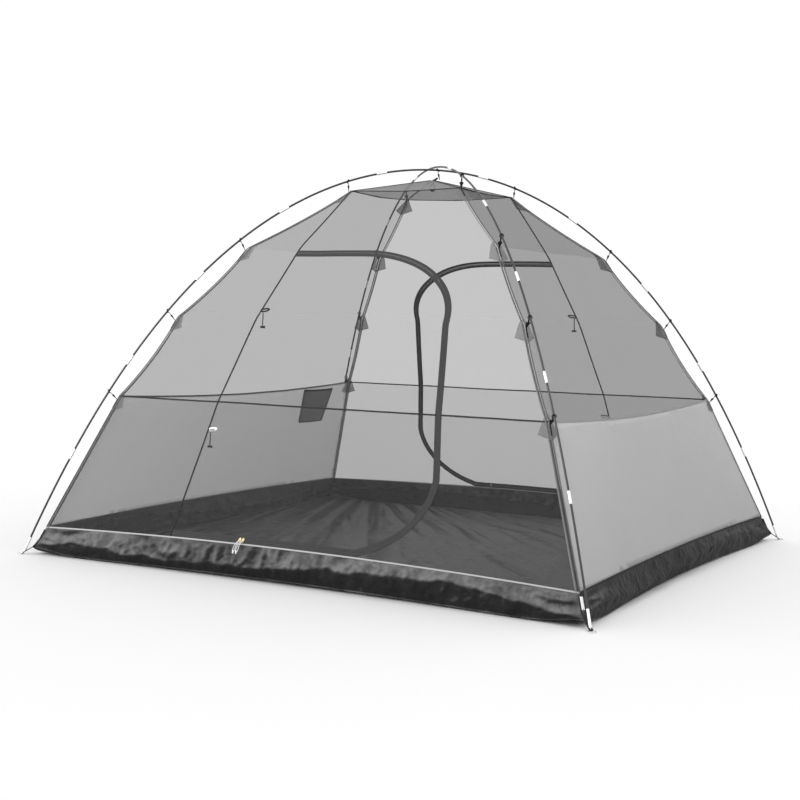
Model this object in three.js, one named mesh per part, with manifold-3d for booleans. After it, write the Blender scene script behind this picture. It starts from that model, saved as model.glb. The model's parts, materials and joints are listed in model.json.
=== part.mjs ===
// Screen house: a free-standing mesh dome shelter. Two long shock-corded poles cross over a sewn
// body with four faceted walls, a bathtub floor, a roof cap and two D-shaped zip doors.
// Millimetres, +Z up. The origin is on the ground under the crossing of the poles. The front wall
// faces -Y. The back is the front turned half round about Z.
import * as THREE from "three";
import { mergeVertices } from "three/addons/utils/BufferGeometryUtils.js";
import Module from "manifold-3d";

const wasm = await Module();
wasm.setup();

// ---- driving dimensions ----
const GAP = 0.4; // between pieces that touch
const FABRIC = 2; // thickness of a fabric sheet, measured level

// The sewn body's half extents at its seams, from the ground up.
const FLOOR = { z: 0, x: 1467, y: 1357 };
const SILL = { z: 130, x: 1419, y: 1312 };
const MID_SEAM = { z: 782, x: 1163, y: 1075 };
const THIRD = { z: 1181, x: 955, y: 883 };
const SECOND = { z: 1535, x: 701, y: 648 };
const EAVE = { z: 1840, x: 316, y: 292 };
const WALL_LEVELS = [SILL, MID_SEAM, THIRD, SECOND, EAVE];
const ROOF_PEAK = 1915;

// The seam on which the front door hangs, as x at each wall level, and the door's outline.
const HINGE_SEAM_X = [-654, -557, -477, -386, -316];
const DOOR_TOP = 1515;
const DOOR_TOP_CORNER = { x: 0, z: 1180, rx: 560, rz: DOOR_TOP - 1180 };
const DOOR_LOW_CORNER = { x: 197, z: 510, rx: 490, rz: 510 - SILL.z };
const DOOR_CLEARANCE = 3; // between the door's edge and the wall around it
const DOOR_BOTTOM = 168; // leaves the sill zip's sliders their track

// The two poles: half span along each diagonal, and the arch's height over it.
const FOOT = { x: 1500, y: 1387 };
const ARCH_SHAPE = [0.186, 0.09, -0.0637]; // how full the arch's shoulders are
const ARCH_HEIGHT_A = 1967.5;
const ARCH_HEIGHT_B = 1978.5; // the second pole lies on the first
const SECTIONS = 11;
const STATIONS = [0.2, 0.33, 0.46, 0.59, 0.72, 0.84]; // where a section bends, as shares of its length
const POLE_R = 5;
const SLEEVE_R = 6.2;
const SLEEVE_HALF = 28; // half the length of a ferrule sleeve
const SOCKET_R = 5.4; // bore of a sleeve
const TIP_R = 6;
const TIP_LENGTH = 75;
const TIP_BORE_R = 3.2;
const TIP_BORE_DEPTH = 45;
const TIP_LIFT = 14; // from the foot point up to the tip's open end

const CLIP_RHO = [0.219, 0.4866, 0.6615, 0.8005]; // where the clips hook on, as shares of the half span
const CLIP_LEVELS = [EAVE, SECOND, THIRD, MID_SEAM];
const CLIP = { width: 14, wall: 3.4, clearance: 1, body: 26, waist: 3, tail: 11, tailLength: 9 };
const CLIP_ANGLES = [-55, 200, -105].map(THREE.MathUtils.degToRad); // of its neck, lip and mouth
const CLIP_SHORT = 6; // from a clip's end to the corner seam
const CROWN_RHO = 0.013; // puts the crown hook just beside the crossing

const RING_R = 14;
const RING_WIRE_R = 2;
const PIN_R = 2.5;
const PIN_SPARE = 8; // between the pin's end and the bottom of its bore
const STRAP = { width: 20, thick: 2.4, lap: 1.5 };

const SILL_ZIP_Z = 149; // middle of the zip on the sill
const SLIDER_X = [-252, -235]; // the front door's two sliders
const BACK_SLIDER_X = 250; // stands where the D's curve starts, as seen from behind
const SLIDER_WIDTH = 12;
// A slider's side, as distances out from the cloth and up it.
const SLIDER_SIDE = [
  [-2, -9],
  [6, -10],
  [9, -4],
  [9, 5],
  [5, 11],
  [-2, 11],
];
const PULL = { width: 3.6, length: 62, out: 6.5, start: -2 };
const TOGGLE_Z = [1210, 640];
const TOGGLE = { cordR: 1.6, cordLength: 66, barR: 3.6, barLength: 24, aside: 16, inside: 3 };
const POCKET = { y: 745, width: 340, top: 750, drop: 200, thick: 4 };

// ---- materials ----
const finish = (color, roughness, metalness = 0) =>
  new THREE.MeshStandardMaterial({ color, roughness, metalness });
const MESH_LIGHT = finish(0xb9bbbc, 0.9);
const PANEL_GREY = finish(0xa9aaab, 0.85);
const ROOF_GREY = finish(0x77797b, 0.85);
const TUB_DARK = finish(0x3c3d40, 0.55);
const POLE_BLACK = finish(0x26272a, 0.35);
const CLIP_BLACK = finish(0x141414, 0.5);
const STEEL = finish(0xc9cacc, 0.3, 1);
const BRASS = finish(0xc9a468, 0.35, 1);

const screenHouse = new THREE.Group();

function addPiece(name, geometry, material, parent = screenHouse) {
  const mesh = new THREE.Mesh(geometry, material);
  mesh.name = name;
  parent.add(mesh);
  return mesh;
}

function turnedGroup(turn) {
  const group = new THREE.Group();
  group.rotation.z = turn;
  screenHouse.add(group);
  return group;
}

// ---- solids ----
function solidOf(geometry) {
  const bare = new THREE.BufferGeometry();
  bare.setAttribute("position", geometry.getAttribute("position"));
  bare.setIndex(geometry.getIndex());
  const merged = mergeVertices(bare, 1e-3);
  const mesh = new wasm.Mesh({
    numProp: 3,
    vertProperties: new Float32Array(merged.getAttribute("position").array),
    triVerts: new Uint32Array(merged.getIndex().array),
  });
  return new wasm.Manifold(mesh);
}

function geometryOf(solid) {
  const mesh = solid.getMesh();
  const geometry = new THREE.BufferGeometry();
  geometry.setAttribute("position", new THREE.BufferAttribute(mesh.vertProperties, 3));
  geometry.setIndex(new THREE.BufferAttribute(mesh.triVerts, 1));
  return geometry;
}

function joined(...geometries) {
  return geometryOf(geometries.map(solidOf).reduce((whole, next) => whole.add(next)));
}

// A box whose top has other half extents than its bottom.
function frustum(low, high, shrink = 0) {
  const geometry = new THREE.BoxGeometry(2, 2, 2);
  const position = geometry.getAttribute("position");
  for (let i = 0; i < position.count; i++) {
    const end = position.getZ(i) > 0 ? high : low;
    const x = Math.sign(position.getX(i)) * (end.x - shrink);
    const y = Math.sign(position.getY(i)) * (end.y - shrink);
    position.setXYZ(i, x, y, end.z);
  }
  return geometry;
}

// ---- sewn body ----
// A value given at each wall level, read at any height between them.
function atHeight(z, values) {
  let k = 1;
  while (k < WALL_LEVELS.length - 1 && z > WALL_LEVELS[k].z) k++;
  const low = WALL_LEVELS[k - 1];
  const high = WALL_LEVELS[k];
  const share = (z - low.z) / (high.z - low.z);
  return THREE.MathUtils.lerp(values[k - 1], values[k], share);
}

const wallX = (z) => atHeight(z, WALL_LEVELS.map((level) => level.x));
const wallY = (z) => atHeight(z, WALL_LEVELS.map((level) => level.y));
const hingeX = (z) => atHeight(z, HINGE_SEAM_X);

// A sheet that bends at each level, facing -Y, at the given distances from the middle.
function pleatedSheet(distances) {
  const outer = WALL_LEVELS.map((level, k) => new THREE.Vector2(-distances[k], level.z));
  const inner = outer.map((p) => new THREE.Vector2(p.x + FABRIC, p.y)).reverse();
  const profile = new THREE.Shape([...outer, ...inner]);
  const sheet = new THREE.ExtrudeGeometry(profile, { depth: 2 * FOOT.x, bevelEnabled: false });
  const alongX = new THREE.Matrix4().makeBasis(
    new THREE.Vector3(0, 1, 0),
    new THREE.Vector3(0, 0, 1),
    new THREE.Vector3(1, 0, 0),
  );
  return sheet.applyMatrix4(alongX).translate(-FOOT.x, 0, 0);
}

// The part of a wall that an elevation outline covers. The outline's y is height.
function cutSheet(distances, outline, hole) {
  const punch = (shape) =>
    solidOf(
      new THREE.ExtrudeGeometry(shape, {
        depth: FOOT.y * 2,
        bevelEnabled: false,
        curveSegments: 10,
      }).rotateX(Math.PI / 2),
    );
  let panel = solidOf(pleatedSheet(distances)).intersect(punch(outline));
  if (hole) panel = panel.subtract(punch(hole));
  return geometryOf(panel);
}

// A wall's own outline between two heights, drawn in at its sides by inset.
function wallOutline(halfWidth, bottom, top, inset) {
  const heights = WALL_LEVELS.map((level) => level.z).filter((z) => z > bottom && z < top);
  const rising = [bottom, ...heights, top].map((z) => new THREE.Vector2(halfWidth(z) - inset, z));
  const falling = rising.map((p) => new THREE.Vector2(-p.x, p.y)).reverse();
  return new THREE.Shape([...rising, ...falling]);
}

// The D of the doorway, drawn in by inset all round, down to the given height.
function doorOutline(inset, bottom) {
  const lowRz = DOOR_LOW_CORNER.rz - inset;
  const turn = Math.asin(Math.min(1, (DOOR_LOW_CORNER.z - bottom) / lowRz));
  const top = DOOR_TOP - inset;
  const shape = new THREE.Shape();
  shape.moveTo(hingeX(bottom) + inset, bottom);
  [MID_SEAM.z, THIRD.z, top].forEach((z) => shape.lineTo(hingeX(z) + inset, z));
  shape.lineTo(DOOR_TOP_CORNER.x, top);
  const { x, z, rx, rz } = DOOR_TOP_CORNER;
  shape.absellipse(x, z, rx - inset, rz - inset, Math.PI / 2, 0, true);
  const low = DOOR_LOW_CORNER;
  shape.absellipse(low.x, low.z, low.rx - inset, lowRz, 0, -turn, true);
  shape.lineTo(low.x + (low.rx - inset) * Math.cos(turn), bottom);
  return shape;
}

function addTub() {
  const inside = { ...FLOOR, z: FABRIC };
  const rim = { ...SILL, z: SILL.z + 1 };
  const tray = solidOf(frustum(FLOOR, SILL)).subtract(solidOf(frustum(inside, rim, FABRIC)));
  addPiece("floor_tub", geometryOf(tray), TUB_DARK);
}

function addRoofCap() {
  const height = ROOF_PEAK - EAVE.z - GAP;
  const peak = new THREE.ConeGeometry(Math.SQRT2, 1, 4).rotateX(Math.PI / 2).rotateZ(Math.PI / 4);
  peak.scale(EAVE.x, EAVE.y, height).translate(0, 0, ROOF_PEAK - height / 2);
  const under = peak.clone().translate(0, 0, -FABRIC);
  addPiece("roof_cap", geometryOf(solidOf(peak).subtract(solidOf(under))), ROOF_GREY);
}

// The front wall and its door. Turned half round, they are the back ones.
function addDoorWall(side, turn) {
  const distances = WALL_LEVELS.map((level) => level.y);
  const outline = wallOutline(wallX, SILL.z + GAP, EAVE.z, 0);
  const group = turnedGroup(turn);
  const wall = cutSheet(distances, outline, doorOutline(0, SILL.z - 1));
  addPiece(side + "_wall", wall, MESH_LIGHT, group);
  const door = cutSheet(distances, doorOutline(DOOR_CLEARANCE, DOOR_BOTTOM));
  addPiece(side + "_door", door, MESH_LIGHT, group);
}

// A side wall: mesh above the mid seam, closed cloth below it. It stands inside the door walls.
function addSideWall(side, turn, extra) {
  const distances = WALL_LEVELS.map((level) => level.x);
  const inset = FABRIC + GAP;
  const group = turnedGroup(turn);
  const upper = wallOutline(wallY, MID_SEAM.z + GAP / 2, EAVE.z, inset);
  addPiece(side + "_upper_mesh", cutSheet(distances, upper), MESH_LIGHT, group);
  const lower = cutSheet(distances, wallOutline(wallY, SILL.z + GAP, MID_SEAM.z - GAP / 2, inset));
  const panel = extra ? joined(lower, extra) : lower;
  addPiece(side + "_lower_panel", panel, PANEL_GREY, group);
}

// The flat mesh pocket on the inside of the left wall, sewn under the mid seam.
function pocketPad() {
  const lean = Math.atan2(SILL.x - MID_SEAM.x, MID_SEAM.z - SILL.z);
  const pad = new THREE.BoxGeometry(POCKET.width, POCKET.thick, POCKET.drop);
  pad.translate(0, POCKET.thick / 2 + FABRIC / 2, -POCKET.drop / 2);
  pad.rotateX(-lean);
  return pad.translate(-POCKET.y, -wallX(POCKET.top), POCKET.top);
}

// ---- poles ----
// One pole's arch, from the foot at (-x, sy * -y) to the opposite one, at constant speed.
class Arch extends THREE.Curve {
  constructor(sy, height) {
    super();
    this.sy = sy;
    this.height = height;
    this.arcLengthDivisions = 800;
  }
  getPoint(t, target = new THREE.Vector3()) {
    const across = 2 * t - 1;
    const q = across * across;
    const [a, b, c] = ARCH_SHAPE;
    const z = this.height * (1 - q) * (1 + a * q + b * q * q + c * q * q * q);
    return target.set(across * FOOT.x, across * this.sy * FOOT.y, z);
  }
}

const ARCH_A = new Arch(1, ARCH_HEIGHT_A);
const ARCH_B = new Arch(-1, ARCH_HEIGHT_B);

// A round solid along an arch, from a profile of [distance along the arch, radius] pairs that
// starts and ends at radius 0.
function sweptLathe(arch, profile, sides = 8) {
  const length = arch.getLength();
  const level = new THREE.Vector3(arch.sy * FOOT.y, -FOOT.x, 0).normalize();
  const points = [];
  const faces = [];
  for (const [distance, radius] of profile) {
    const u = distance / length;
    const centre = arch.getPointAt(u);
    const up = new THREE.Vector3().crossVectors(level, arch.getTangentAt(u));
    for (let i = 0; i < (radius ? sides : 1); i++) {
      const angle = (2 * Math.PI * i) / sides;
      const point = centre.clone();
      point.addScaledVector(level, radius * Math.cos(angle));
      points.push(point.addScaledVector(up, radius * Math.sin(angle)));
    }
  }
  let start = 0;
  for (let k = 1; k < profile.length; k++) {
    const from = profile[k - 1][1] ? sides : 1;
    const to = profile[k][1] ? sides : 1;
    const next = start + from;
    for (let i = 0; i < sides; i++) {
      const j = (i + 1) % sides;
      if (from > 1) faces.push(start + i, next + (i % to), start + j);
      if (to > 1) faces.push(start + (j % from), next + i, next + j);
    }
    start = next;
  }
  const geometry = new THREE.BufferGeometry().setFromPoints(points);
  return geometry.setIndex(faces);
}

function addPole(name, arch) {
  const length = arch.getLength();
  const pitch = length / SECTIONS;
  for (let k = 0; k < SECTIONS; k++) {
    const start = k ? k * pitch + GAP : TIP_LIFT;
    const end = k < SECTIONS - 1 ? (k + 1) * pitch : length - TIP_LIFT;
    const profile = [];
    if (k) {
      profile.push([start, 0], [start, POLE_R], [start + SLEEVE_HALF + 1, POLE_R]);
    } else {
      profile.push([start + TIP_BORE_DEPTH, 0], [start + TIP_BORE_DEPTH, TIP_BORE_R]);
      profile.push([start, TIP_BORE_R], [start, TIP_R]);
      profile.push([start + TIP_LENGTH, TIP_R], [start + TIP_LENGTH, POLE_R]);
    }
    for (const share of STATIONS) profile.push([start + share * pitch, POLE_R]);
    if (k < SECTIONS - 1) {
      profile.push([end - SLEEVE_HALF, POLE_R], [end - SLEEVE_HALF, SLEEVE_R]);
      profile.push([end + SLEEVE_HALF, SLEEVE_R], [end + SLEEVE_HALF, SOCKET_R]);
      profile.push([end, SOCKET_R], [end, 0]);
    } else {
      profile.push([end - TIP_LENGTH, POLE_R], [end - TIP_LENGTH, TIP_R]);
      profile.push([end, TIP_R], [end, TIP_BORE_R]);
      profile.push([end - TIP_BORE_DEPTH, TIP_BORE_R], [end - TIP_BORE_DEPTH, 0]);
    }
    addPiece(`${name}_section_${k + 1}`, sweptLathe(arch, profile), POLE_BLACK);
  }
}

// ---- clips ----
// A moulded clip in its own plane: the pole's centre at 0, the fabric at -length.
function clipOutline(length) {
  const inner = POLE_R + CLIP.clearance;
  const outer = inner + CLIP.wall;
  const [neck, lip, mouth] = CLIP_ANGLES;
  const shoulder = -outer - CLIP.waist;
  const tail = CLIP.tail / 2;
  const shape = new THREE.Shape();
  shape.absarc(0, 0, outer, neck, lip, false);
  shape.absarc(0, 0, inner, lip, mouth, true);
  shape.lineTo(-CLIP.waist, -outer - CLIP.clearance);
  shape.lineTo(-CLIP.body / 2, shoulder);
  shape.lineTo(-tail, CLIP.tailLength - length);
  shape.lineTo(-tail, -length);
  shape.lineTo(tail, -length);
  shape.lineTo(tail, CLIP.tailLength - length);
  shape.lineTo(CLIP.body / 2, shoulder);
  return shape;
}

// A clip that hooks on the pole at one point and reaches towards another.
function clip(arch, u, towards, length) {
  const hook = new THREE.ExtrudeGeometry(clipOutline(length), {
    depth: CLIP.width,
    bevelEnabled: false,
    curveSegments: 11,
  }).translate(0, 0, -CLIP.width / 2);
  const pole = arch.getPointAt(u);
  const along = arch.getTangentAt(u);
  const away = pole.clone().sub(towards);
  away.addScaledVector(along, -away.dot(along)).normalize();
  const across = new THREE.Vector3().crossVectors(away, along);
  const place = new THREE.Matrix4().makeBasis(across, away, along).setPosition(pole);
  return hook.applyMatrix4(place);
}

// The share of the arch's length at which it stands over a share of its half span.
function shareOver(arch, across) {
  const lengths = arch.getLengths();
  const position = ((across + 1) / 2) * (lengths.length - 1);
  const k = Math.floor(position);
  const reached = THREE.MathUtils.lerp(lengths[k], lengths[k + 1] ?? lengths[k], position - k);
  return reached / lengths[lengths.length - 1];
}

function addClips() {
  const corners = [
    ["left_front", ARCH_A, -1],
    ["right_back", ARCH_A, 1],
    ["left_back", ARCH_B, -1],
    ["right_front", ARCH_B, 1],
  ];
  for (const [corner, arch, way] of corners) {
    CLIP_RHO.forEach((rho, k) => {
      const level = CLIP_LEVELS[k];
      const fabric = new THREE.Vector3(way * level.x, way * arch.sy * level.y, level.z);
      const u = shareOver(arch, way * rho);
      const reach = arch.getPointAt(u).distanceTo(fabric);
      addPiece(`clip_${corner}_${k + 1}`, clip(arch, u, fabric, reach - CLIP_SHORT), CLIP_BLACK);
    });
  }
}

// The crown hook holds the roof's peak up to the lower pole, just beside the crossing.
function addCrownHook() {
  const u = shareOver(ARCH_A, CROWN_RHO);
  const pole = ARCH_A.getPointAt(u);
  const under = pole.clone().setZ(0);
  addPiece("crown_hook", clip(ARCH_A, u, under, pole.z - ROOF_PEAK - 1), CLIP_BLACK);
}

// ---- corners ----
// A pin in the pole's tip, the peg ring it is welded to, and the webbing to the tub's corner.
function cornerPin(arch, atStart) {
  const u = atStart ? 0 : 1;
  const foot = arch.getPointAt(u);
  const rise = arch.getTangentAt(u).multiplyScalar(atStart ? 1 : -1);
  const outward = new THREE.Vector3(foot.x, foot.y, 0).normalize();
  const ringCentre = foot.clone().addScaledVector(outward, RING_R);
  const ring = new THREE.TorusGeometry(RING_R, RING_WIRE_R, 8, 20);
  ring.translate(ringCentre.x, ringCentre.y, RING_WIRE_R);
  const pinLength = TIP_LIFT + TIP_BORE_DEPTH - PIN_SPARE;
  const pin = new THREE.CylinderGeometry(PIN_R, PIN_R, pinLength, 8);
  pin.translate(0, pinLength / 2 + RING_WIRE_R, 0);
  const turn = new THREE.Quaternion().setFromUnitVectors(new THREE.Vector3(0, 1, 0), rise);
  pin.applyQuaternion(turn).translate(foot.x, foot.y, foot.z);
  const reach = Math.hypot(FOOT.x - FLOOR.x, FOOT.y - FLOOR.y);
  const strap = new THREE.BoxGeometry(reach, STRAP.width, STRAP.thick);
  strap.translate(STRAP.lap - reach / 2, 0, RING_WIRE_R);
  strap.rotateZ(Math.atan2(outward.y, outward.x)).translate(foot.x, foot.y, 0);
  return joined(ring, pin, strap);
}

function addCorners() {
  addPiece("corner_pin_left_front", cornerPin(ARCH_A, true), STEEL);
  addPiece("corner_pin_right_back", cornerPin(ARCH_A, false), STEEL);
  addPiece("corner_pin_left_back", cornerPin(ARCH_B, true), STEEL);
  addPiece("corner_pin_right_front", cornerPin(ARCH_B, false), STEEL);
}

// ---- zip sliders ----
// A slider on the sill zip with its pull cord hanging down the tub's outside.
function slider(x) {
  const lean = Math.atan2(SILL.y - MID_SEAM.y, MID_SEAM.z - SILL.z);
  const side = new THREE.Shape(SLIDER_SIDE.map(([out, up]) => new THREE.Vector2(out, up)));
  const body = new THREE.ExtrudeGeometry(side, { depth: SLIDER_WIDTH, bevelEnabled: false });
  const outwards = new THREE.Matrix4().makeBasis(
    new THREE.Vector3(0, -1, 0),
    new THREE.Vector3(0, 0, 1),
    new THREE.Vector3(-1, 0, 0),
  );
  body.translate(0, 0, -SLIDER_WIDTH / 2).applyMatrix4(outwards);
  const pull = new THREE.BoxGeometry(PULL.width, PULL.width, PULL.length);
  pull.translate(0, -PULL.out, PULL.start - PULL.length / 2);
  return joined(body, pull).rotateX(-lean).translate(x, -wallY(SILL_ZIP_Z), SILL_ZIP_Z);
}

function addSliders() {
  addPiece("front_zip_slider_left", slider(SLIDER_X[0]), BRASS);
  addPiece("front_zip_slider_right", slider(SLIDER_X[1]), BRASS);
  addPiece("back_zip_slider", slider(BACK_SLIDER_X), BRASS, turnedGroup(Math.PI));
}

// ---- door toggles ----
// A toggle on a short cord, hanging inside from the hinge seam, for tying the rolled door.
function toggle(z) {
  const { cordR, cordLength, barR, barLength, aside } = TOGGLE;
  const cord = new THREE.CylinderGeometry(cordR, cordR, cordLength, 8).rotateX(Math.PI / 2);
  cord.translate(0, 0, -cordLength / 2);
  const bar = new THREE.CylinderGeometry(barR, barR, barLength, 10).rotateZ(Math.PI / 2);
  bar.translate(0, 0, cordR - cordLength - barR);
  const inside = -wallY(z) + FABRIC + TOGGLE.inside;
  return joined(cord, bar).translate(hingeX(z) + aside, inside, z);
}

function addToggles(side, turn) {
  const group = turnedGroup(turn);
  addPiece(side + "_toggle_upper", toggle(TOGGLE_Z[0]), CLIP_BLACK, group);
  addPiece(side + "_toggle_lower", toggle(TOGGLE_Z[1]), CLIP_BLACK, group);
}

addTub();
addRoofCap();
addDoorWall("front", 0);
addDoorWall("back", Math.PI);
addSideWall("right", Math.PI / 2);
addSideWall("left", -Math.PI / 2, pocketPad());
addPole("pole_a", ARCH_A);
addPole("pole_b", ARCH_B);
addClips();
addCrownHook();
addCorners();
addSliders();
addToggles("front", 0);
addToggles("back", Math.PI);

export default screenHouse;
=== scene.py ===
"""The looks of the screen house: a mesh dome shelter of sewn cloth hung from two crossed poles.

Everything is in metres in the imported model's frame: +Z up, the front wall faces -Y, and the back is
the front turned half round. Cloth is made by laying outlines on a wall's curved surface."""

import json
import math

import bpy
import numpy as np
from mathutils import Matrix, Vector, noise
from mathutils.geometry import delaunay_2d_cdt


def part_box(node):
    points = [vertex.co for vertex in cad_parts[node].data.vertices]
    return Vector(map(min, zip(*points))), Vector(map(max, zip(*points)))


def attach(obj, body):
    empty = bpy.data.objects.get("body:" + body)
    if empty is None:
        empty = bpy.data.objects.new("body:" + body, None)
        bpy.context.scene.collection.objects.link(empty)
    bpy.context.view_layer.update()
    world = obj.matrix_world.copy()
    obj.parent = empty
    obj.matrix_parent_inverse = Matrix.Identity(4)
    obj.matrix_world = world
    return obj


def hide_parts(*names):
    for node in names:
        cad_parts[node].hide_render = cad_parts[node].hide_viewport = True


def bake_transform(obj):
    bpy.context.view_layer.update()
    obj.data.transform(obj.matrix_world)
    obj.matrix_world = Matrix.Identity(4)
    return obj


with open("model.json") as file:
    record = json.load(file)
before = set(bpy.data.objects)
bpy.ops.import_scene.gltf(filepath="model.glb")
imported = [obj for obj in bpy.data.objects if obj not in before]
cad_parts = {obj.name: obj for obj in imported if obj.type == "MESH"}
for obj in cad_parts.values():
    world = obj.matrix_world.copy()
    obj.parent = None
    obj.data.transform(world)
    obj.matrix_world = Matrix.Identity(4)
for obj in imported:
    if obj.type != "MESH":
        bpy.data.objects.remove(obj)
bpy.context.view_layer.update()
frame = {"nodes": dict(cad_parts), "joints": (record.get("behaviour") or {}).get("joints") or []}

TENT = "tent"

# ---- sizes that the frame doesn't give ----
DOOR_GAP = 0.003  # between the CAD door's edge and the line of its zip
TOP_CORNER = {"x": 0.0, "z": 1.180, "rx": 0.560}  # the arc at the door's upper corner: centre, width
LOW_CORNER = {"x": 0.197, "z": 0.510}  # the centre of the arc at its lower corner
SCALLOP = 0.020  # how far a corner seam draws in between two clips
ROUNDING = 0.11  # how far a fold across a wall spreads up and down
SAG = 0.010  # how far a wall draws in between its sill and its eave
HEIGHT_STEP = 0.002
CLOTH_THICK = 0.0012  # of closed cloth; netting is a single layer
SILL_BOW = {"x": 0.030, "y": 0.018}  # how far a wall pulls the tub's rim up in its middle
TUB_DRAW = 0.056  # how far the tub's foot is drawn in between its corners
TUB_LIFT = 0.012  # how far the foot of the tub's rim stands off the ground between corners
CORNER_LIFT = 0.032  # and at its corners, where the webbing pulls
CORNER_REACH = 0.16  # how far from a corner the webbing's pull spreads
TAPE = 0.0145  # width of one half of a zip's tape
TAPE_AT = TAPE / 2 + 0.002  # from the zip's line to the middle of each tape
ZIP_LIFT = 0.017  # from the tub's rim up to the zip that runs along it
ARCH_SHAPE = (0.186, 0.09, -0.0637)  # how full the poles' shoulders are
ARCH_HEIGHTS = {"pole_a": 1.9675, "pole_b": 1.9785}
FOOT = (1.500, 1.387)
SECTIONS = 11
ROD_R = 0.005
SLEEVE_R = 0.0062
SLEEVE_HALF = 0.028
SLEEVE_CRIMP = 0.006  # from a sleeve's end to its crimp
TIP_LENGTH = 0.075
TIP_LIFT = 0.014
CLIP_RHO = (0.219, 0.4866, 0.6615, 0.8005)  # where the clips hook on, as shares of the half span
CROWN_RHO = 0.013  # puts the crown hook just beside the crossing


# ---- reading the frame ----
def node_points(node):
    """The corners of a CAD node's mesh."""
    return np.array([v.co for v in frame["nodes"][node].data.vertices], float)


def rows_of(points):
    """Each height at which there are points, from the lowest up, with its points."""
    for z in sorted({round(float(z), 3) for z in points[:, 2]}):
        yield z, points[abs(points[:, 2] - z) < 6e-4]


def wall_levels():
    """(height, half width, half depth) of the sewn body where its walls bend."""
    levels = []
    for z, row in rows_of(node_points("front_wall")):
        whole = abs(row[:, 0].max() + row[:, 0].min()) < 1e-3
        if whole and (not levels or z - levels[-1][0] > 0.01):
            levels.append((z, row[:, 0].max(), -row[:, 1].min()))
    return np.array(levels)


LEVELS = wall_levels()
SILL, MID, THIRD, SECOND, EAVE = LEVELS[:, 0]
FLOOR_X, FLOOR_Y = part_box("floor_tub")[1].xy
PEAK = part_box("roof_cap")[1].z
DOOR_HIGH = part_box("front_door")[1]
DOOR_TOP = DOOR_HIGH.z - 2 * DOOR_GAP
DOOR_SIDE = DOOR_HIGH.x + DOOR_GAP


def hinge_levels():
    """(height, x) of the hinge seam where it bends, read from the door's left edge."""
    points = node_points("front_door")
    side = points[points[:, 0] < -0.35]
    found = [(z, row[:, 0].min() - DOOR_GAP) for z, row in rows_of(side)]
    return np.array(found + [(EAVE, -LEVELS[-1, 1])])


HINGE = hinge_levels()


def reading(z, table, column):
    """A column of a table against its first one, carried on straight past its ends."""
    z = np.asarray(z, float)
    x, y = table[:, 0], table[:, column]
    k = np.clip(np.searchsorted(x, z) - 1, 0, len(x) - 2)
    return y[k] + (z - x[k]) / (x[k + 1] - x[k]) * (y[k + 1] - y[k])


def hinge_x(z):
    """How far right of the wall's middle its hinge seam is at a height."""
    return reading(z, HINGE, 1)


# ---- the sewn body's surface ----
def scallop(z):
    """How far the corner seams draw in at a height: nothing at a clip, most between two."""
    z = np.asarray(z, float)
    drawn = np.zeros_like(z)
    for low, high in zip(LEVELS[1:-1, 0], LEVELS[2:, 0]):
        share = np.clip((z - low) / (high - low), 0, 1)
        drawn += SCALLOP * 4 * share * (1 - share)
    return drawn


HEIGHTS = np.arange(-0.2, 2.2, HEIGHT_STEP)


def rounded(column):
    """A level's column at each of HEIGHTS, with its bends spread out."""
    sharp = reading(HEIGHTS, LEVELS, column)
    count = int(ROUNDING / HEIGHT_STEP) | 1
    window = np.hanning(count + 2)[1:-1]
    soft = np.convolve(sharp, window / window.sum(), "same")
    inside = (HEIGHTS > 0) & (HEIGHTS < EAVE - 0.01)
    return np.where(inside, soft, sharp)


SOFT_X = rounded(1)
SOFT_Y = rounded(2)
DIAGONAL = np.array(FOOT) / np.hypot(*FOOT)


def noise_at(points, scale, seed):
    """Smooth noise from -1 to 1 at each point. scale is one lump's size, in metres."""
    shift = Vector((seed * 7.31, seed * 3.17, seed * 5.73))
    return np.array([noise.noise(Vector(p) / scale + shift) for p in points])


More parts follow.
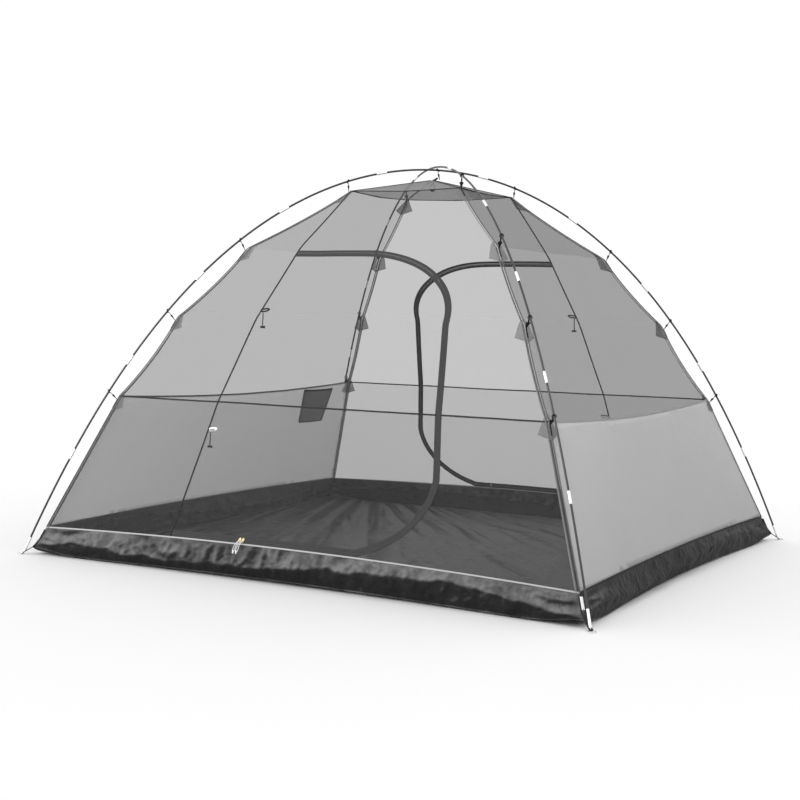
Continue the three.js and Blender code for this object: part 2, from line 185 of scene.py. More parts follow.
class Wall:
    """One side of the body: a runs across it from its middle to the right, z is height."""

    def __init__(self, name, turn, across, seed):
        self.name = name
        self.turn = Matrix.Rotation(turn, 3, "Z")
        self.bow = SILL_BOW[across]
        self.width = 1 if across == "x" else 2
        self.depth = 3 - self.width
        self.soft = SOFT_Y if across == "x" else SOFT_X
        self.draw = DIAGONAL if across == "x" else DIAGONAL[::-1]
        self.seed = seed

    def edge(self, z):
        return reading(z, LEVELS, self.width) - scallop(z) * self.draw[0]

    def sill(self, a):
        """Height of the tub's rim, which the wall draws up in its middle."""
        return SILL + self.bow * (1 - (np.asarray(a, float) / self.edge(SILL)) ** 2)

    def along_sill(self, start, end, lift=0.0):
        """(a, z) points along the tub's rim."""
        a = np.linspace(start, end, max(2, int(abs(end - start) / 0.03) + 1))
        return np.stack([a, self.sill(a) + lift], 1)

    def distance(self, a, z):
        a, z = np.broadcast_arrays(np.asarray(a, float), np.asarray(z, float))
        share = np.clip(abs(a) / self.edge(z), 0, 1)
        corner = reading(z, LEVELS, self.depth) - scallop(z) * self.draw[1]
        middle = np.interp(z, HEIGHTS, self.soft)
        between = np.sin(np.pi * np.clip((z - SILL) / (EAVE - SILL), 0, 1))
        middle = middle - SAG * between * (1 - share**2)
        return middle + (corner - middle) * share**4

    def ripples(self, a, z):
        """Small unevenness of taut cloth, none at its seams."""
        a, z = np.broadcast_arrays(np.asarray(a, float), np.asarray(z, float))
        flat = np.stack([a.ravel(), z.ravel(), np.full(a.size, self.seed)], 1)
        wide = noise_at(flat * (1, 0.6, 1), 0.34, self.seed)
        fine = noise_at(flat * (1, 0.5, 1), 0.11, self.seed + 3)
        edge = np.clip((self.edge(z) - abs(a)).ravel() / 0.15, 0, 1)
        ends = np.clip((z.ravel() - SILL) / 0.1, 0, 1) * np.clip((EAVE - z.ravel()) / 0.1, 0, 1)
        return ((0.0045 * wide + 0.0014 * fine) * edge * ends).reshape(a.shape)

    def points(self, a, z, lift=0.0):
        """Row-frame points on the wall, lift metres out from the cloth."""
        a, z = np.broadcast_arrays(np.asarray(a, float), np.asarray(z, float))
        step = 0.01
        slope = (self.distance(a, z + step) - self.distance(a, z - step)) / (2 * step)
        size = np.sqrt(1 + slope**2)
        out = lift + self.ripples(a, z)
        local = np.stack([a, -self.distance(a, z) - out / size, z - out * slope / size], -1)
        return local.reshape(-1, 3) @ np.array(self.turn).T

    def normals(self, a, z):
        a, z = np.broadcast_arrays(np.asarray(a, float), np.asarray(z, float))
        return (self.points(a, z, 0.01) - self.points(a, z)) / 0.01


FRONT = Wall("front", 0, "x", 1)
RIGHT = Wall("right", math.pi / 2, "y", 2)
BACK = Wall("back", math.pi, "x", 3)
LEFT = Wall("left", -math.pi / 2, "y", 4)
WALLS = (FRONT, RIGHT, BACK, LEFT)


# ---- mesh helpers ----
def new_piece(name, points, faces, material, uv=None, smooth=True):
    """An object with its place in its mesh. uv is one pair for each point."""
    mesh = bpy.data.meshes.new(name)
    mesh.from_pydata([tuple(map(float, p)) for p in points], [], faces)
    mesh.validate()
    if uv is not None:
        layer = mesh.uv_layers.new(name="cloth")
        corners = np.zeros(len(mesh.loops), np.int32)
        mesh.loops.foreach_get("vertex_index", corners)
        layer.data.foreach_set("uv", np.asarray(uv, np.float32)[corners].ravel())
    mesh.materials.append(material)
    mesh.polygons.foreach_set("use_smooth", [smooth] * len(mesh.polygons))
    piece = bpy.data.objects.new(name, mesh)
    bpy.context.scene.collection.objects.link(piece)
    return piece


def apply_modifiers(piece):
    """Bakes a piece's modifiers into its mesh."""
    graph = bpy.context.evaluated_depsgraph_get()
    made = bpy.data.meshes.new_from_object(piece.evaluated_get(graph))
    piece.modifiers.clear()
    piece.data = made
    return piece


def thicken(piece):
    """Gives closed cloth its thickness, inwards from the surface that was laid out."""
    solid = piece.modifiers.new("thickness", "SOLIDIFY")
    solid.thickness = CLOTH_THICK
    solid.offset = -1
    solid.use_even_offset = False
    return apply_modifiers(piece)


def seat(piece, slot=None, node=None, body=TENT):
    """Puts a finished piece on its body, standing for a CAD node where one is given."""
    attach(piece, body)
    if node:
        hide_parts(node)
    return piece


def lengths_along(points):
    """How far along a line each of its points is."""
    gaps = np.linalg.norm(np.diff(points, axis=0), axis=1)
    return np.concatenate([[0], np.cumsum(gaps)])


def resampled(points, step):
    """A line's points again, about step apart, its own ends kept."""
    points = np.asarray(points, float)
    along = lengths_along(points)
    at = np.linspace(0, along[-1], max(2, int(round(along[-1] / step)) + 1))
    return np.stack([np.interp(at, along, points[:, k]) for k in range(points.shape[1])], 1)


def inside(points, polygon):
    """Whether each point is inside the polygon, by the even-odd rule."""
    x, y = points[:, 0:1], points[:, 1:2]
    x0, y0 = polygon[:, 0], polygon[:, 1]
    x1, y1 = np.roll(x0, -1), np.roll(y0, -1)
    straddles = (y0 > y) != (y1 > y)
    with np.errstate(divide="ignore", invalid="ignore"):
        crossing = x0 + (y - y0) * (x1 - x0) / (y1 - y0)
    return (straddles & (x < crossing)).sum(1) % 2 == 1


def cut_cloth(outline, spacing, level=None):
    """(points, triangles) that fill a closed outline of (a, z) points.

    Where a level is given, no triangle crosses that height."""
    corners = [np.asarray(part, float) for part in outline]
    rim = np.concatenate([resampled(part, spacing * 0.8)[:-1] for part in corners])
    low, high = rim.min(0), rim.max(0)
    a, z = np.meshgrid(
        np.arange(low[0], high[0] + spacing, spacing),
        np.arange(low[1], high[1] + spacing, spacing),
    )
    a[1::2] += spacing / 2
    grid = np.stack([a.ravel(), z.ravel()], 1)
    grid = grid[inside(grid, rim)]
    if level is not None:
        grid = grid[abs(grid[:, 1] - level) > spacing * 0.4]
        line = np.arange(low[0], high[0], spacing * 0.8)
        grid = np.concatenate([grid, np.stack([line, np.full(len(line), level)], 1)])
        grid = grid[inside(grid, rim)]
    clear = [np.hypot(*(rim - p).T).min() > spacing * 0.55 for p in grid]
    grid = grid[np.array(clear, bool)] if len(grid) else grid
    flat = np.concatenate([rim, grid])
    ring = [(i, (i + 1) % len(rim)) for i in range(len(rim))]
    if level is not None:
        on_level = np.flatnonzero(flat[:, 1] == level)
        ring += [(int(i), int(j)) for i, j in zip(on_level, on_level[1:]) if i >= len(rim)]
    made = delaunay_2d_cdt([Vector(p) for p in flat], ring, [], 0, 1e-6)
    points = np.array([tuple(p) for p in made[0]])
    triangles = np.array([list(f) for f in made[2]])
    keep = inside(points[triangles].mean(1), rim)
    return points, triangles[keep]


def cloth(name, wall, outline, material, spacing=0.03, lift=0.0, below=None, level=MID):
    """A single sheet of cloth on a wall, from an outline of joined (a, z) lines.

    below is the material of its part under the level, if that is another."""
    flat, triangles = cut_cloth(outline, spacing, level if below else None)
    points = wall.points(flat[:, 0], flat[:, 1], lift)
    piece = new_piece(name, points, triangles.tolist(), material, flat)
    if below:
        piece.data.materials.append(below)
        low = flat[triangles, 1].mean(1) < level
        piece.data.polygons.foreach_set("material_index", low.astype(np.int32))
    return piece


def face_out(piece, wall):
    """Turns a sheet's faces so that they look out of the tent."""
    outward = wall.turn @ Vector((0, -1, 0))
    total = sum((p.normal * p.area for p in piece.data.polygons), Vector())
    if total.dot(outward) < 0:
        piece.data.flip_normals()
    return piece


def area_in(piece, size):
    """A sheet's own area, which can't be more than the flat cut that it comes from."""
    return min(sum(p.area for p in piece.data.polygons), size[0] * size[1])


def share_grid(across, up, low=0):
    """(a, t) over a grid: a from -1 to 1 in across steps, t from low to 1 in up steps."""
    a, t = np.meshgrid(np.linspace(-1, 1, across + 1), np.linspace(low, 1, up + 1))
    return a.ravel(), t.ravel()


def grid_faces(across, up, start=0):
    """The faces between the points of such a grid, which are numbered from start."""
    row = across + 1
    return [
        (k, k + 1, k + row + 1, k + row)
        for j in range(up)
        for k in range(start + j * row, start + j * row + across)
    ]


def tube_faces(rows, count, flip=False):
    """The faces of a tube of rows of count points each, with its two ends last."""
    faces = []
    for low in range(0, (rows - 1) * count, count):
        high = low + count
        for j in range(count):
            k = (j + 1) % count
            side = (low + j, high + j, high + k, low + k)
            faces.append((side[0], *side[:0:-1]) if flip else side)
    ends = [tuple(range(count)), tuple(range(rows * count - 1, (rows - 1) * count - 1, -1))]
    return faces + [end[::-1] if flip else end for end in ends]


def units(rows):
    """Each row again, one unit long."""
    return rows / np.linalg.norm(rows, axis=1)[:, None]


def sweep(name, path, ups, section, material, taper=None):
    """A closed solid that carries a section of (side, up) points along a path."""
    path = np.asarray(path, float)
    ups = np.broadcast_to(np.asarray(ups, float), path.shape)
    section = np.asarray(section, float)
    tangents = units(np.gradient(path, axis=0))
    sides = units(np.cross(tangents, ups))
    raised = np.cross(sides, tangents)
    scale = np.ones(len(path)) if taper is None else np.asarray(taper, float)
    count = len(section)
    rings = (
        path[:, None]
        + section[None, :, 0:1] * scale[:, None, None] * sides[:, None]
        + section[None, :, 1:2] * scale[:, None, None] * raised[:, None]
    )
    uv = [(s, j / count) for s in lengths_along(path) for j in range(count)]
    faces = tube_faces(len(path), count)
    piece = new_piece(name, rings.reshape(-1, 3), faces, material, uv)
    piece.data.polygons[-1].use_smooth = False
    piece.data.polygons[-2].use_smooth = False
    return piece


def flat_section(width, thick, rise=0.0):
    """A ribbon's section: flat, with rounded edges."""
    w, t = width / 2, thick / 2
    half = [(-w, 0), (-w * 0.94, t * 0.8), (-w * 0.5, t), (w * 0.5, t), (w * 0.94, t * 0.8), (w, 0)]
    under = [(w * 0.94, -t * 0.8), (-w * 0.94, -t * 0.8)]
    return [(x, y + rise) for x, y in half + under]


def round_section(radius, count=12):
    """A rod's section, as a ring of points."""
    turns = [2 * math.pi * i / count for i in range(count)]
    return [(radius * math.cos(t), radius * math.sin(t)) for t in turns]


# ---- materials ----
class Nodes:
    """A small builder for one material's node tree."""

    def __init__(self, name):
        self.material = bpy.data.materials.new(name)
        self.material.use_nodes = True
        self.tree = self.material.node_tree
        self.shader = self.tree.nodes["Principled BSDF"]

    def add(self, kind, inputs=None, **settings):
        node = self.tree.nodes.new(kind)
        for key, value in settings.items():
            setattr(node, key, value)
        for key, value in (inputs or {}).items():
            if isinstance(value, bpy.types.NodeSocket):
                self.tree.links.new(value, node.inputs[key])
            else:
                node.inputs[key].default_value = value
        return node

    def place(self, kind):
        return self.add("ShaderNodeTexCoord").outputs[kind]

    def cloud(self, vector, scale, detail=2.0, rough=0.5, swirl=0.0):
        inputs = {"Vector": vector, "Scale": scale, "Detail": detail, "Roughness": rough}
        inputs["Distortion"] = swirl
        return self.add("ShaderNodeTexNoise", inputs).outputs["Fac"]

    def bands(self, vector, pitch, axis):
        """Soft bands about a pitch apart. A wave texture's own bands are 0.314 / scale apart."""
        inputs = {"Vector": vector, "Scale": 1 / pitch / 3.14, "Distortion": 0.0}
        return self.add("ShaderNodeTexWave", inputs, bands_direction=axis).outputs["Fac"]

    def weave(self, pitch):
        """Threads both ways across the cloth."""
        uv = self.place("UV")
        return self.math("MULTIPLY", self.bands(uv, pitch, "X"), self.bands(uv, pitch, "Y"))

    def math(self, kind, a, b):
        return self.add("ShaderNodeMath", {0: a, 1: b}, operation=kind).outputs[0]

    def range(self, *values):
        """A value moved from between two limits to between two others."""
        names = ("Value", "From Min", "From Max", "To Min", "To Max")
        return self.add("ShaderNodeMapRange", dict(zip(names, values))).outputs[0]

    def mix(self, factor, a, b):
        node = self.add("ShaderNodeMix", data_type="RGBA")
        for index, value in ((0, factor), (6, a), (7, b)):
            if isinstance(value, bpy.types.NodeSocket):
                self.tree.links.new(value, node.inputs[index])
            else:
                node.inputs[index].default_value = value if index == 0 else (*value, 1)
        return node.outputs[2]

    def feed(self, name, value):
        if isinstance(value, bpy.types.NodeSocket):
            self.tree.links.new(value, self.shader.inputs[name])
        else:
            self.shader.inputs[name].default_value = value

    def bump(self, height, strength, distance):
        inputs = {"Height": height, "Strength": strength, "Distance": distance}
        self.feed("Normal", self.add("ShaderNodeBump", inputs).outputs[0])


def grey(value, warmth=0.0):
    return (value * (1 + warmth), value, value * (1 - warmth))


def woven(name, dark, light, thread, roughness, creases, opacity=1.0, sheen=0.0, through=0.0):
    """Plain woven cloth: threads both ways, clouds of wear, and soft creases.

    through is how much of the light that falls on it glows through."""
    m = Nodes(name)
    place = m.place("Object")
    weave = m.weave(thread)
    clouds = m.cloud(place, 2.2, 4.0, 0.6)
    shade = m.math("ADD", m.math("MULTIPLY", weave, 0.35), m.math("MULTIPLY", clouds, 0.65))
    m.feed("Base Color", m.mix(shade, grey(dark), grey(light)))
    m.feed("Roughness", m.range(clouds, 0.3, 0.7, roughness - 0.06, roughness + 0.06))
    m.feed("Sheen Weight", sheen)
    m.feed("Sheen Roughness", 0.5)
    m.feed("Alpha", opacity)
    m.feed("Subsurface Weight", through)
    m.feed("Subsurface Scale", 0.02)
    m.feed("Subsurface Radius", (1.0, 1.0, 1.0))
    wide = m.cloud(place, 9.0, 5.0, 0.55)
    m.bump(m.math("ADD", m.math("MULTIPLY", weave, 0.08), wide), creases, 0.01)
    return m.material


def netting(name, dark, light, opacity):
    """Fine netting, seen as one sheet that lets part of the view through."""
    return woven(name, dark, light, 0.006, 0.9, 0.05, opacity)


def coated(name, dark, light, roughness):
    """Heavy coated floor cloth with clouds of wear, and light and shade painted along its folds, creases and
    crumple lines.
    """
    m = Nodes(name)
    place = m.place("Object")
    clouds = m.cloud(place, 3.0, 4.0, 0.6, 0.4)
    creases = m.cloud(place, 30.0, 5.0, 0.6, 0.3)
    weave = m.weave(0.004)
    # painted light and shade along the folds, worked out from the mesh's shape
    folds = m.add("ShaderNodeAttribute", attribute_name="fold_tone").outputs["Fac"]
    crumple = m.cloud(place, 13.0, 3.0, 0.6, 0.5)
    lines = m.math("ABSOLUTE", m.math("SUBTRACT", crumple, 0.5), 0)
    # random clouds of wear, and painted shading that follows the creases' bump
    wear_and_crease_shading = m.math("ADD", m.math("MULTIPLY", clouds, 0.5), m.math("MULTIPLY", creases, 0.5))
    # painted highlights along the crumple lines, where the bump makes ridges
    painted_ridge_highlights = m.range(lines, 0.0, 0.12, 1.35, 0.85)
    wear_and_crease_shading = m.math("MULTIPLY", m.range(wear_and_crease_shading, 0.3, 0.7, 0.6, 1.4), painted_ridge_highlights)
    shade = m.math("MULTIPLY", folds, wear_and_crease_shading)
    m.feed("Base Color", m.mix(shade, grey(dark), grey(light)))
    m.feed("Roughness", m.range(clouds, 0.3, 0.7, roughness - 0.08, roughness + 0.1))
    m.feed("Specular IOR Level", 0.2)
    ridges = m.math("SUBTRACT", creases, m.math("MULTIPLY", lines, 2.0))
    m.bump(m.math("ADD", m.math("MULTIPLY", weave, 0.01), ridges), 0.6, 0.014)
    return m.material


def stitched(name, tone, thread_tone):
    """Folded tape with a line of stitches along each side."""
    pitch = 0.0028
    m = Nodes(name)
    uv = m.place("UV")
    split = m.add("ShaderNodeSeparateXYZ", {0: uv})
    along, across = split.outputs[0], split.outputs[1]
    dashes = m.math("GREATER_THAN", m.math("PINGPONG", along, pitch), pitch * 0.4)
    off = [m.math("ABSOLUTE", m.math("SUBTRACT", across, row), 0) for row in (0.19, 0.44)]
    near, far = (m.math("LESS_THAN", distance, 0.012) for distance in off)
    stitch = m.math("MULTIPLY", dashes, m.math("MAXIMUM", near, far))
    ribs = m.bands(uv, 0.0018, "X")
    m.feed("Base Color", m.mix(stitch, grey(tone), grey(thread_tone)))
    m.feed("Roughness", m.range(ribs, 0, 1, 0.72, 0.9))
    m.feed("Specular IOR Level", 0.25)
    m.bump(m.math("ADD", m.math("MULTIPLY", ribs, 0.3), stitch), 0.5, 0.0008)
    return m.material


def hard(name, color, roughness, metal=0.0, grain=60.0, depth=0.0004, shine=0.5):
    """Moulded plastic or metal, with fine scuffs."""
    m = Nodes(name)
    place = m.place("Object")
    scuffs = m.cloud(place, grain, 6.0, 0.65)
    edge = tuple(min(1.0, c * 1.35 + 0.002) for c in color)
    m.feed("Base Color", m.mix(m.range(scuffs, 0.35, 0.75, 0, 1), color, edge))
    m.feed("Metallic", metal)
    m.feed("Specular IOR Level", shine)
    m.feed("Roughness", m.range(scuffs, 0.3, 0.7, roughness - 0.06, roughness + 0.1))
    m.bump(scuffs, 0.25, depth)
    return m.material


def pole_finish():
    """Pultruded rod: glossy black with faint lengthwise fibres."""
    m = Nodes("pole_rod")
    uv = m.place("UV")
    stretched = m.add("ShaderNodeMapping", {"Vector": uv, "Scale": (6.0, 60.0, 1.0)})
    fibres = m.cloud(stretched.outputs[0], 5.0, 5.0, 0.6)
    m.feed("Base Color", m.mix(fibres, grey(0.012), grey(0.035)))
    m.feed("Roughness", m.range(fibres, 0.3, 0.7, 0.24, 0.38))
    m.bump(fibres, 0.2, 0.0003)
    return m.material


def zip_coil():
    """The nylon coil of a zip: a tooth every 1.6 mm."""
    m = Nodes("zip_coil")
    teeth = m.bands(m.place("UV"), 0.0016, "X")
    m.feed("Base Color", m.mix(teeth, grey(0.022), grey(0.06)))
    m.feed("Roughness", 0.42)
    m.bump(teeth, 0.8, 0.001)
    return m.material


NETTING = netting("mesh_netting", 0.025, 0.05, 0.28)
LOW_NETTING = netting("low_netting", 0.03, 0.055, 0.39)
LEFT_NETTING = netting("left_netting", 0.03, 0.055, 0.40)
RIGHT_NETTING = netting("right_netting", 0.022, 0.045, 0.57)
LEFT_TOP = netting("left_top_netting", 0.03, 0.055, 0.44)
RIGHT_TOP = netting("right_top_netting", 0.022, 0.045, 0.66)
PANEL_CLOTH = woven("panel_cloth", 0.24, 0.30, 0.005, 0.85, 0.35, through=1.0)
# a darker copy of the panel cloth: painted shade for the left wall's lower panel
SHADED_LEFT_PANEL_CLOTH = woven("left_panel_cloth", 0.12, 0.16, 0.005, 0.85, 0.5, through=0.8)
ROOF_CLOTH = woven("roof_cloth", 0.10, 0.16, 0.005, 0.78, 0.25, 0.75, 0.1)
PATCH_CLOTH = woven("patch_cloth", 0.09, 0.16, 0.003, 0.8, 0.3, 0.75, 0.1)
POCKET_MESH = woven("pocket_mesh", 0.02, 0.045, 0.004, 0.85, 0.3, 0.84, 0.05)
EDGE_CLOTH = woven("edge_cloth", 0.26, 0.34, 0.004, 0.8, 0.2, 0.8, 0.1)
TUB_CLOTH = coated("tub_cloth", 0.003, 0.125, 0.58)
SEAM_DARK = stitched("seam_dark", 0.02, 0.038)
SEAM_CORNER = stitched("seam_corner", 0.10, 0.16)
SEAM_MESH = stitched("seam_grey", 0.05, 0.1)
SEAM_PANEL = stitched("seam_panel", 0.26, 0.36)
SILL_TAPE = stitched("sill_binding", 0.36, 0.44)
ZIP_TAPE = stitched("zip_tape", 0.034, 0.046)
WEBBING = stitched("webbing", 0.018, 0.036)
WHITE_TAPE = stitched("white_tape", 0.8, 0.88)
COIL = zip_coil()
ROD = pole_finish()
FERRULE = hard("ferrule_metal", (0.86, 0.86, 0.87), 0.3, 0.85)
STEEL = hard("pin_steel", (0.62, 0.62, 0.63), 0.3, 1.0)
CLIP_PLASTIC = hard("clip_plastic", grey(0.004), 0.6, shine=0.2)
TOGGLE_PLASTIC = hard("toggle_plastic", grey(0.006), 0.6, shine=0.25)
BRASS = hard("slider_brass", (0.83, 0.67, 0.40), 0.28, 0.9)
CORD_WHITE = hard("pull_cord", grey(0.6), 0.8, 0.0, 500.0)
CORD_DARK = hard("toggle_cord", grey(0.012), 0.8, 0.0, 500.0, shine=0.2)


# ---- walls and doors ----
def line_up(edge, low, high, step=0.02):
    """(a, z) points from low to high along an edge given as a function of z."""
    z = np.linspace(low, high, max(2, int((high - low) / step)))
    return np.stack([edge(z), z], 1)


def arc(centre, rx, rz, start, end):
    """(a, z) points on a quarter of an ellipse."""
    t = np.linspace(start, end, 26)
    return np.stack([centre["x"] + rx * np.cos(t), centre["z"] + rz * np.sin(t)], 1)


def door_curve(wall, grow=0.0):
    """The zip's line from the hinge seam over the top, round and down to the sill."""
    foot = float(wall.sill(LOW_CORNER["x"]))
    top = DOOR_TOP + grow
    over = arc(TOP_CORNER, TOP_CORNER["rx"] + grow, top - TOP_CORNER["z"], math.pi / 2, 0)
    wide, tall = DOOR_SIDE - LOW_CORNER["x"] + grow, LOW_CORNER["z"] - foot + grow
    under = arc(LOW_CORNER, wide, tall, 0, -math.pi / 2)
    under = under[under[:, 1] > SILL]
    start = [(float(hinge_x(top)), top)]
    return np.concatenate([resampled(start + [over[0]], 0.03)[:-1], over, under])


def zip_loop(wall, grow=0.0):
    """The zip's whole line: round the D, then along the tub's rim to the hinge seam."""
    curve = door_curve(wall, grow)
    curve = curve[curve[:, 1] > wall.sill(curve[:, 0]) + ZIP_LIFT - grow + 0.004]
    sill = wall.along_sill(curve[-1][0] - 0.02, hinge_foot() + 0.01, ZIP_LIFT - grow)
    return np.concatenate([curve, sill])


def zip_x(z):
    """The zip's side, between the D's two corners."""
    return float(np.interp(z, (LOW_CORNER["z"], TOP_CORNER["z"]), (DOOR_SIDE, TOP_CORNER["rx"])))


def hinge_foot():
    return float(hinge_x(SILL + SILL_BOW["x"]))


DOOR_BEND = (0.028, 0.130)  # where the door starts and ends to bend, from its hinge line
DOOR_LEAN = 0.44  # how far the wall leans back from upright, in radians


def door_blend(piece, wall):
    """Bakes a door piece's place into its mesh. Where it would start and end to bend on its seam is worked
    out, but nothing bends it.
    """
    body = wall.name + "_door"
    joint = next(j for j in frame["joints"] if j["child"] == body)
    outward = wall.turn @ Vector((0, -math.cos(DOOR_LEAN), math.sin(DOOR_LEAN)))
    side = outward.cross(Vector(joint["axis"])).normalized()
    if side.dot(wall.turn @ Vector((1, 0, 0))) < 0:
        side = -side
    start, end = (tuple(Vector(joint["pos_m"]) + side * away) for away in DOOR_BEND)
    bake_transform(piece)
    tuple(start)
    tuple(end)
    return piece


def door_wall(wall):
    """A door wall's sheets: the gore beside the hinge seam and the panel round the door."""
    name = wall.name + "_wall"
    top = EAVE - 0.001
    left = line_up(lambda z: -wall.edge(z), SILL, top)
    hinge = line_up(hinge_x, float(wall.sill(hinge_foot())), top)
    right = line_up(wall.edge, SILL, top)
    foot = wall.along_sill(hinge[0][0], left[0][0])
    gore = cloth(wall.name + "_gore", wall, [left, hinge[::-1], foot], NETTING, below=LOW_NETTING)
    curve = door_curve(wall)
    above = hinge[hinge[:, 1] > DOOR_TOP]
    parts = [
        np.array([curve[0], above[0]]),
        above,
        np.array([above[-1], right[-1]]),
        right[::-1],
        wall.along_sill(right[0][0], curve[-1][0]),
        curve[::-1],
    ]
    panel = cloth(wall.name + "_panel", wall, parts, NETTING, below=LOW_NETTING)
    for piece, node in ((gore, None), (panel, name)):
        face_out(piece, wall)
        size = piece_size(piece, wall)
        area = area_in(piece, size)
        seat(piece, "mesh_fabric", node)


def piece_size(piece, wall):
    """The width and height of a sheet's flat cut."""
    a = np.array([tuple(d.uv) for d in piece.data.uv_layers["cloth"].data])
    z = np.linspace(a[:, 1].min(), a[:, 1].max(), 60)
    rise = np.hypot(np.diff(z), np.diff(reading(z, LEVELS, wall.depth))).sum()
    return float(np.ptp(a[:, 0])), float(rise)


def door(wall):
    """A door's sheet, its half of the zip tape and its stretch of the mid seam."""
    body = wall.name + "_door"
    curve = door_curve(wall, -0.001)
    curve = curve[curve[:, 1] > wall.sill(curve[:, 0]) + ZIP_LIFT]
    hinge = line_up(hinge_x, float(wall.sill(hinge_foot())) + ZIP_LIFT, DOOR_TOP - 0.001)
    foot = wall.along_sill(curve[-1][0], hinge[0][0], ZIP_LIFT)
    parts = [hinge, np.array([hinge[-1], curve[0]]), curve, foot]
    sheet = face_out(cloth(body + "_cloth", wall, parts, NETTING, below=LOW_NETTING), wall)
    size = piece_size(sheet, wall)
    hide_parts(body)
    tape_line = zip_loop(wall, -TAPE_AT)
    tape = surface_ribbon(body + "_zip_tape", wall, tape_line, ZIP_HALF, ZIP_TAPE, 0.0012)
    seam_line = resampled([(float(hinge_x(MID)), MID), (zip_x(MID) - 0.010, MID)], 0.03)
    seam = surface_ribbon(body + "_mid_seam", wall, seam_line, MID_SEAM, SEAM_DARK)
    for piece in (sheet, tape, seam):
        door_blend(piece, wall)


# Width and thickness of what is sewn along the walls.
ZIP_HALF = (TAPE, 0.0016)
ZIP_TEETH = (0.0048, 0.0036)
MID_SEAM = (0.008, 0.0022)
HINGE_SEAM = (0.008, 0.003)
SIDE_SEAM = (0.009, 0.0024)
SILL_BINDING = (0.0075, 0.004)


def surface_ribbon(name, wall, line, size, material, lift=0.001):
    """A ribbon sewn along a line of (a, z) points on a wall."""
    line = resampled(line, 0.02)
    path = wall.points(line[:, 0], line[:, 1], lift)
    ups = wall.normals(line[:, 0], line[:, 1])
    return sweep(name, path, ups, flat_section(*size), material)


def door_wall_trim(wall):
    """The zip's fixed half, its coil, the seams and the sill binding of a door wall."""
    hinge = line_up(hinge_x, SILL + SILL_BOW["x"], EAVE - 0.004)
    edge = float(wall.edge(MID)) - 0.004
    left = [(-edge, MID), (float(hinge_x(MID)), MID)]
    right = [(zip_x(MID) + 0.010, MID), (edge, MID)]
    width = float(wall.edge(SILL))
    ribbons = (
        ("zip_tape", zip_loop(wall, TAPE_AT), ZIP_HALF, ZIP_TAPE, 0.0012),
        ("zip_coil", zip_loop(wall), ZIP_TEETH, COIL, 0.0008),
        ("hinge_seam", hinge, HINGE_SEAM, SEAM_DARK, 0.0012),
        ("mid_seam_left", left, MID_SEAM, SEAM_DARK, 0.001),
        ("mid_seam_right", right, MID_SEAM, SEAM_DARK, 0.001),
        ("sill_binding", wall.along_sill(-width, width), SILL_BINDING, SILL_TAPE, 0.0014),
    )
    for part, line, size, material, lift in ribbons:
        ribbon = surface_ribbon(f"{wall.name}_{part}", wall, line, size, material, lift)
        seat(ribbon, "mesh_fabric")


# ---- side walls ----
SIDE_DIP = 0.03  # how far the side walls' mid seam hangs in the middle


def side_mid(wall, a):
    return MID - SIDE_DIP * (1 - (a / wall.edge(MID)) ** 2)


def side_wall(wall):
    """A side wall: netting above its mid seam, closed cloth below."""
    name = wall.name
    edge = float(wall.edge(MID))
    a = np.linspace(-edge, edge, 60)
    mid = np.stack([a, side_mid(wall, a)], 1)
    left = line_up(lambda z: -wall.edge(z), MID, EAVE)
    right = line_up(wall.edge, MID, EAVE)
    parts = [mid, right, np.array([right[-1], left[-1]]), left[::-1]]
    top, low = (RIGHT_TOP, RIGHT_NETTING) if wall is RIGHT else (LEFT_TOP, LEFT_NETTING)
    sheet = cloth(name + "_netting", wall, parts, top, below=low, level=SECOND)
    upper = face_out(sheet, wall)
    low_left = line_up(lambda z: -wall.edge(z), SILL, MID)
    low_right = line_up(wall.edge, SILL, MID)
    foot = wall.along_sill(low_left[0][0], low_right[0][0])
    parts = [foot, low_right, mid[::-1], low_left[::-1]]
    # the left panel's cloth is the darker copy, with painted shade
    closed = PANEL_CLOTH if wall is RIGHT else SHADED_LEFT_PANEL_CLOTH
    lower = face_out(cloth(name + "_panel_cloth", wall, parts, closed, 0.022), wall)
    for piece, node, slot in (
        (upper, name + "_upper_mesh", "mesh_fabric"),
        (lower, name + "_lower_panel", "panel_fabric"),
    ):
        size = piece_size(piece, wall)
        area = area_in(piece, size)
        if slot == "panel_fabric":
            thicken(piece)
        seat(piece, slot, node)
    seat(surface_ribbon(name + "_mid_seam", wall, mid, SIDE_SEAM, SEAM_PANEL), "panel_fabric")
    seat(surface_ribbon(name + "_sill_seam", wall, foot, HINGE_SEAM, WEBBING), "panel_fabric")


# ---- corners and roof ----
CORNERS = {
    "left_front": (-1, -1),
    "right_front": (1, -1),
    "left_back": (-1, 1),
    "right_back": (1, 1),
}


def corner_points(signs, z, lift=0.0):
    """Points on a corner seam, lift metres out along the diagonal."""
    z = np.asarray(z, float)
    half = reading(z, LEVELS, 1), reading(z, LEVELS, 2)
    drawn = lift - scallop(z)
    return np.stack([s * (h + d * drawn) for s, h, d in zip(signs, half, DIAGONAL)] + [z], 1)


def corner_seams():
    """The bound corner seams: a dark cord of folded cloth and the light edge it is sewn to."""
    for corner, signs in CORNERS.items():
        z = np.linspace(SILL, EAVE, 90)
        out = Vector((signs[0] * DIAGONAL[0], signs[1] * DIAGONAL[1], 0.45)).normalized()
        path = corner_points(signs, z, 0.0016)
        seam = sweep("corner_seam_" + corner, path, out, flat_section(0.005, 0.004), SEAM_CORNER)
        edge_path = path + np.array((0.013 * signs[0], 0.002 * signs[1], 0)) * -1
        side = Vector((signs[0], signs[1] * 0.25, 0.3)).normalized()
        widths = np.interp(z, (SILL, MID, EAVE), (1.0, 0.8, 0.4))
        section = flat_section(0.026, 0.0016)
        edge = sweep("corner_edge_" + corner, edge_path, side, section, EDGE_CLOTH, widths)
        for piece in (seam, edge):
            seat(piece, "mesh_fabric")


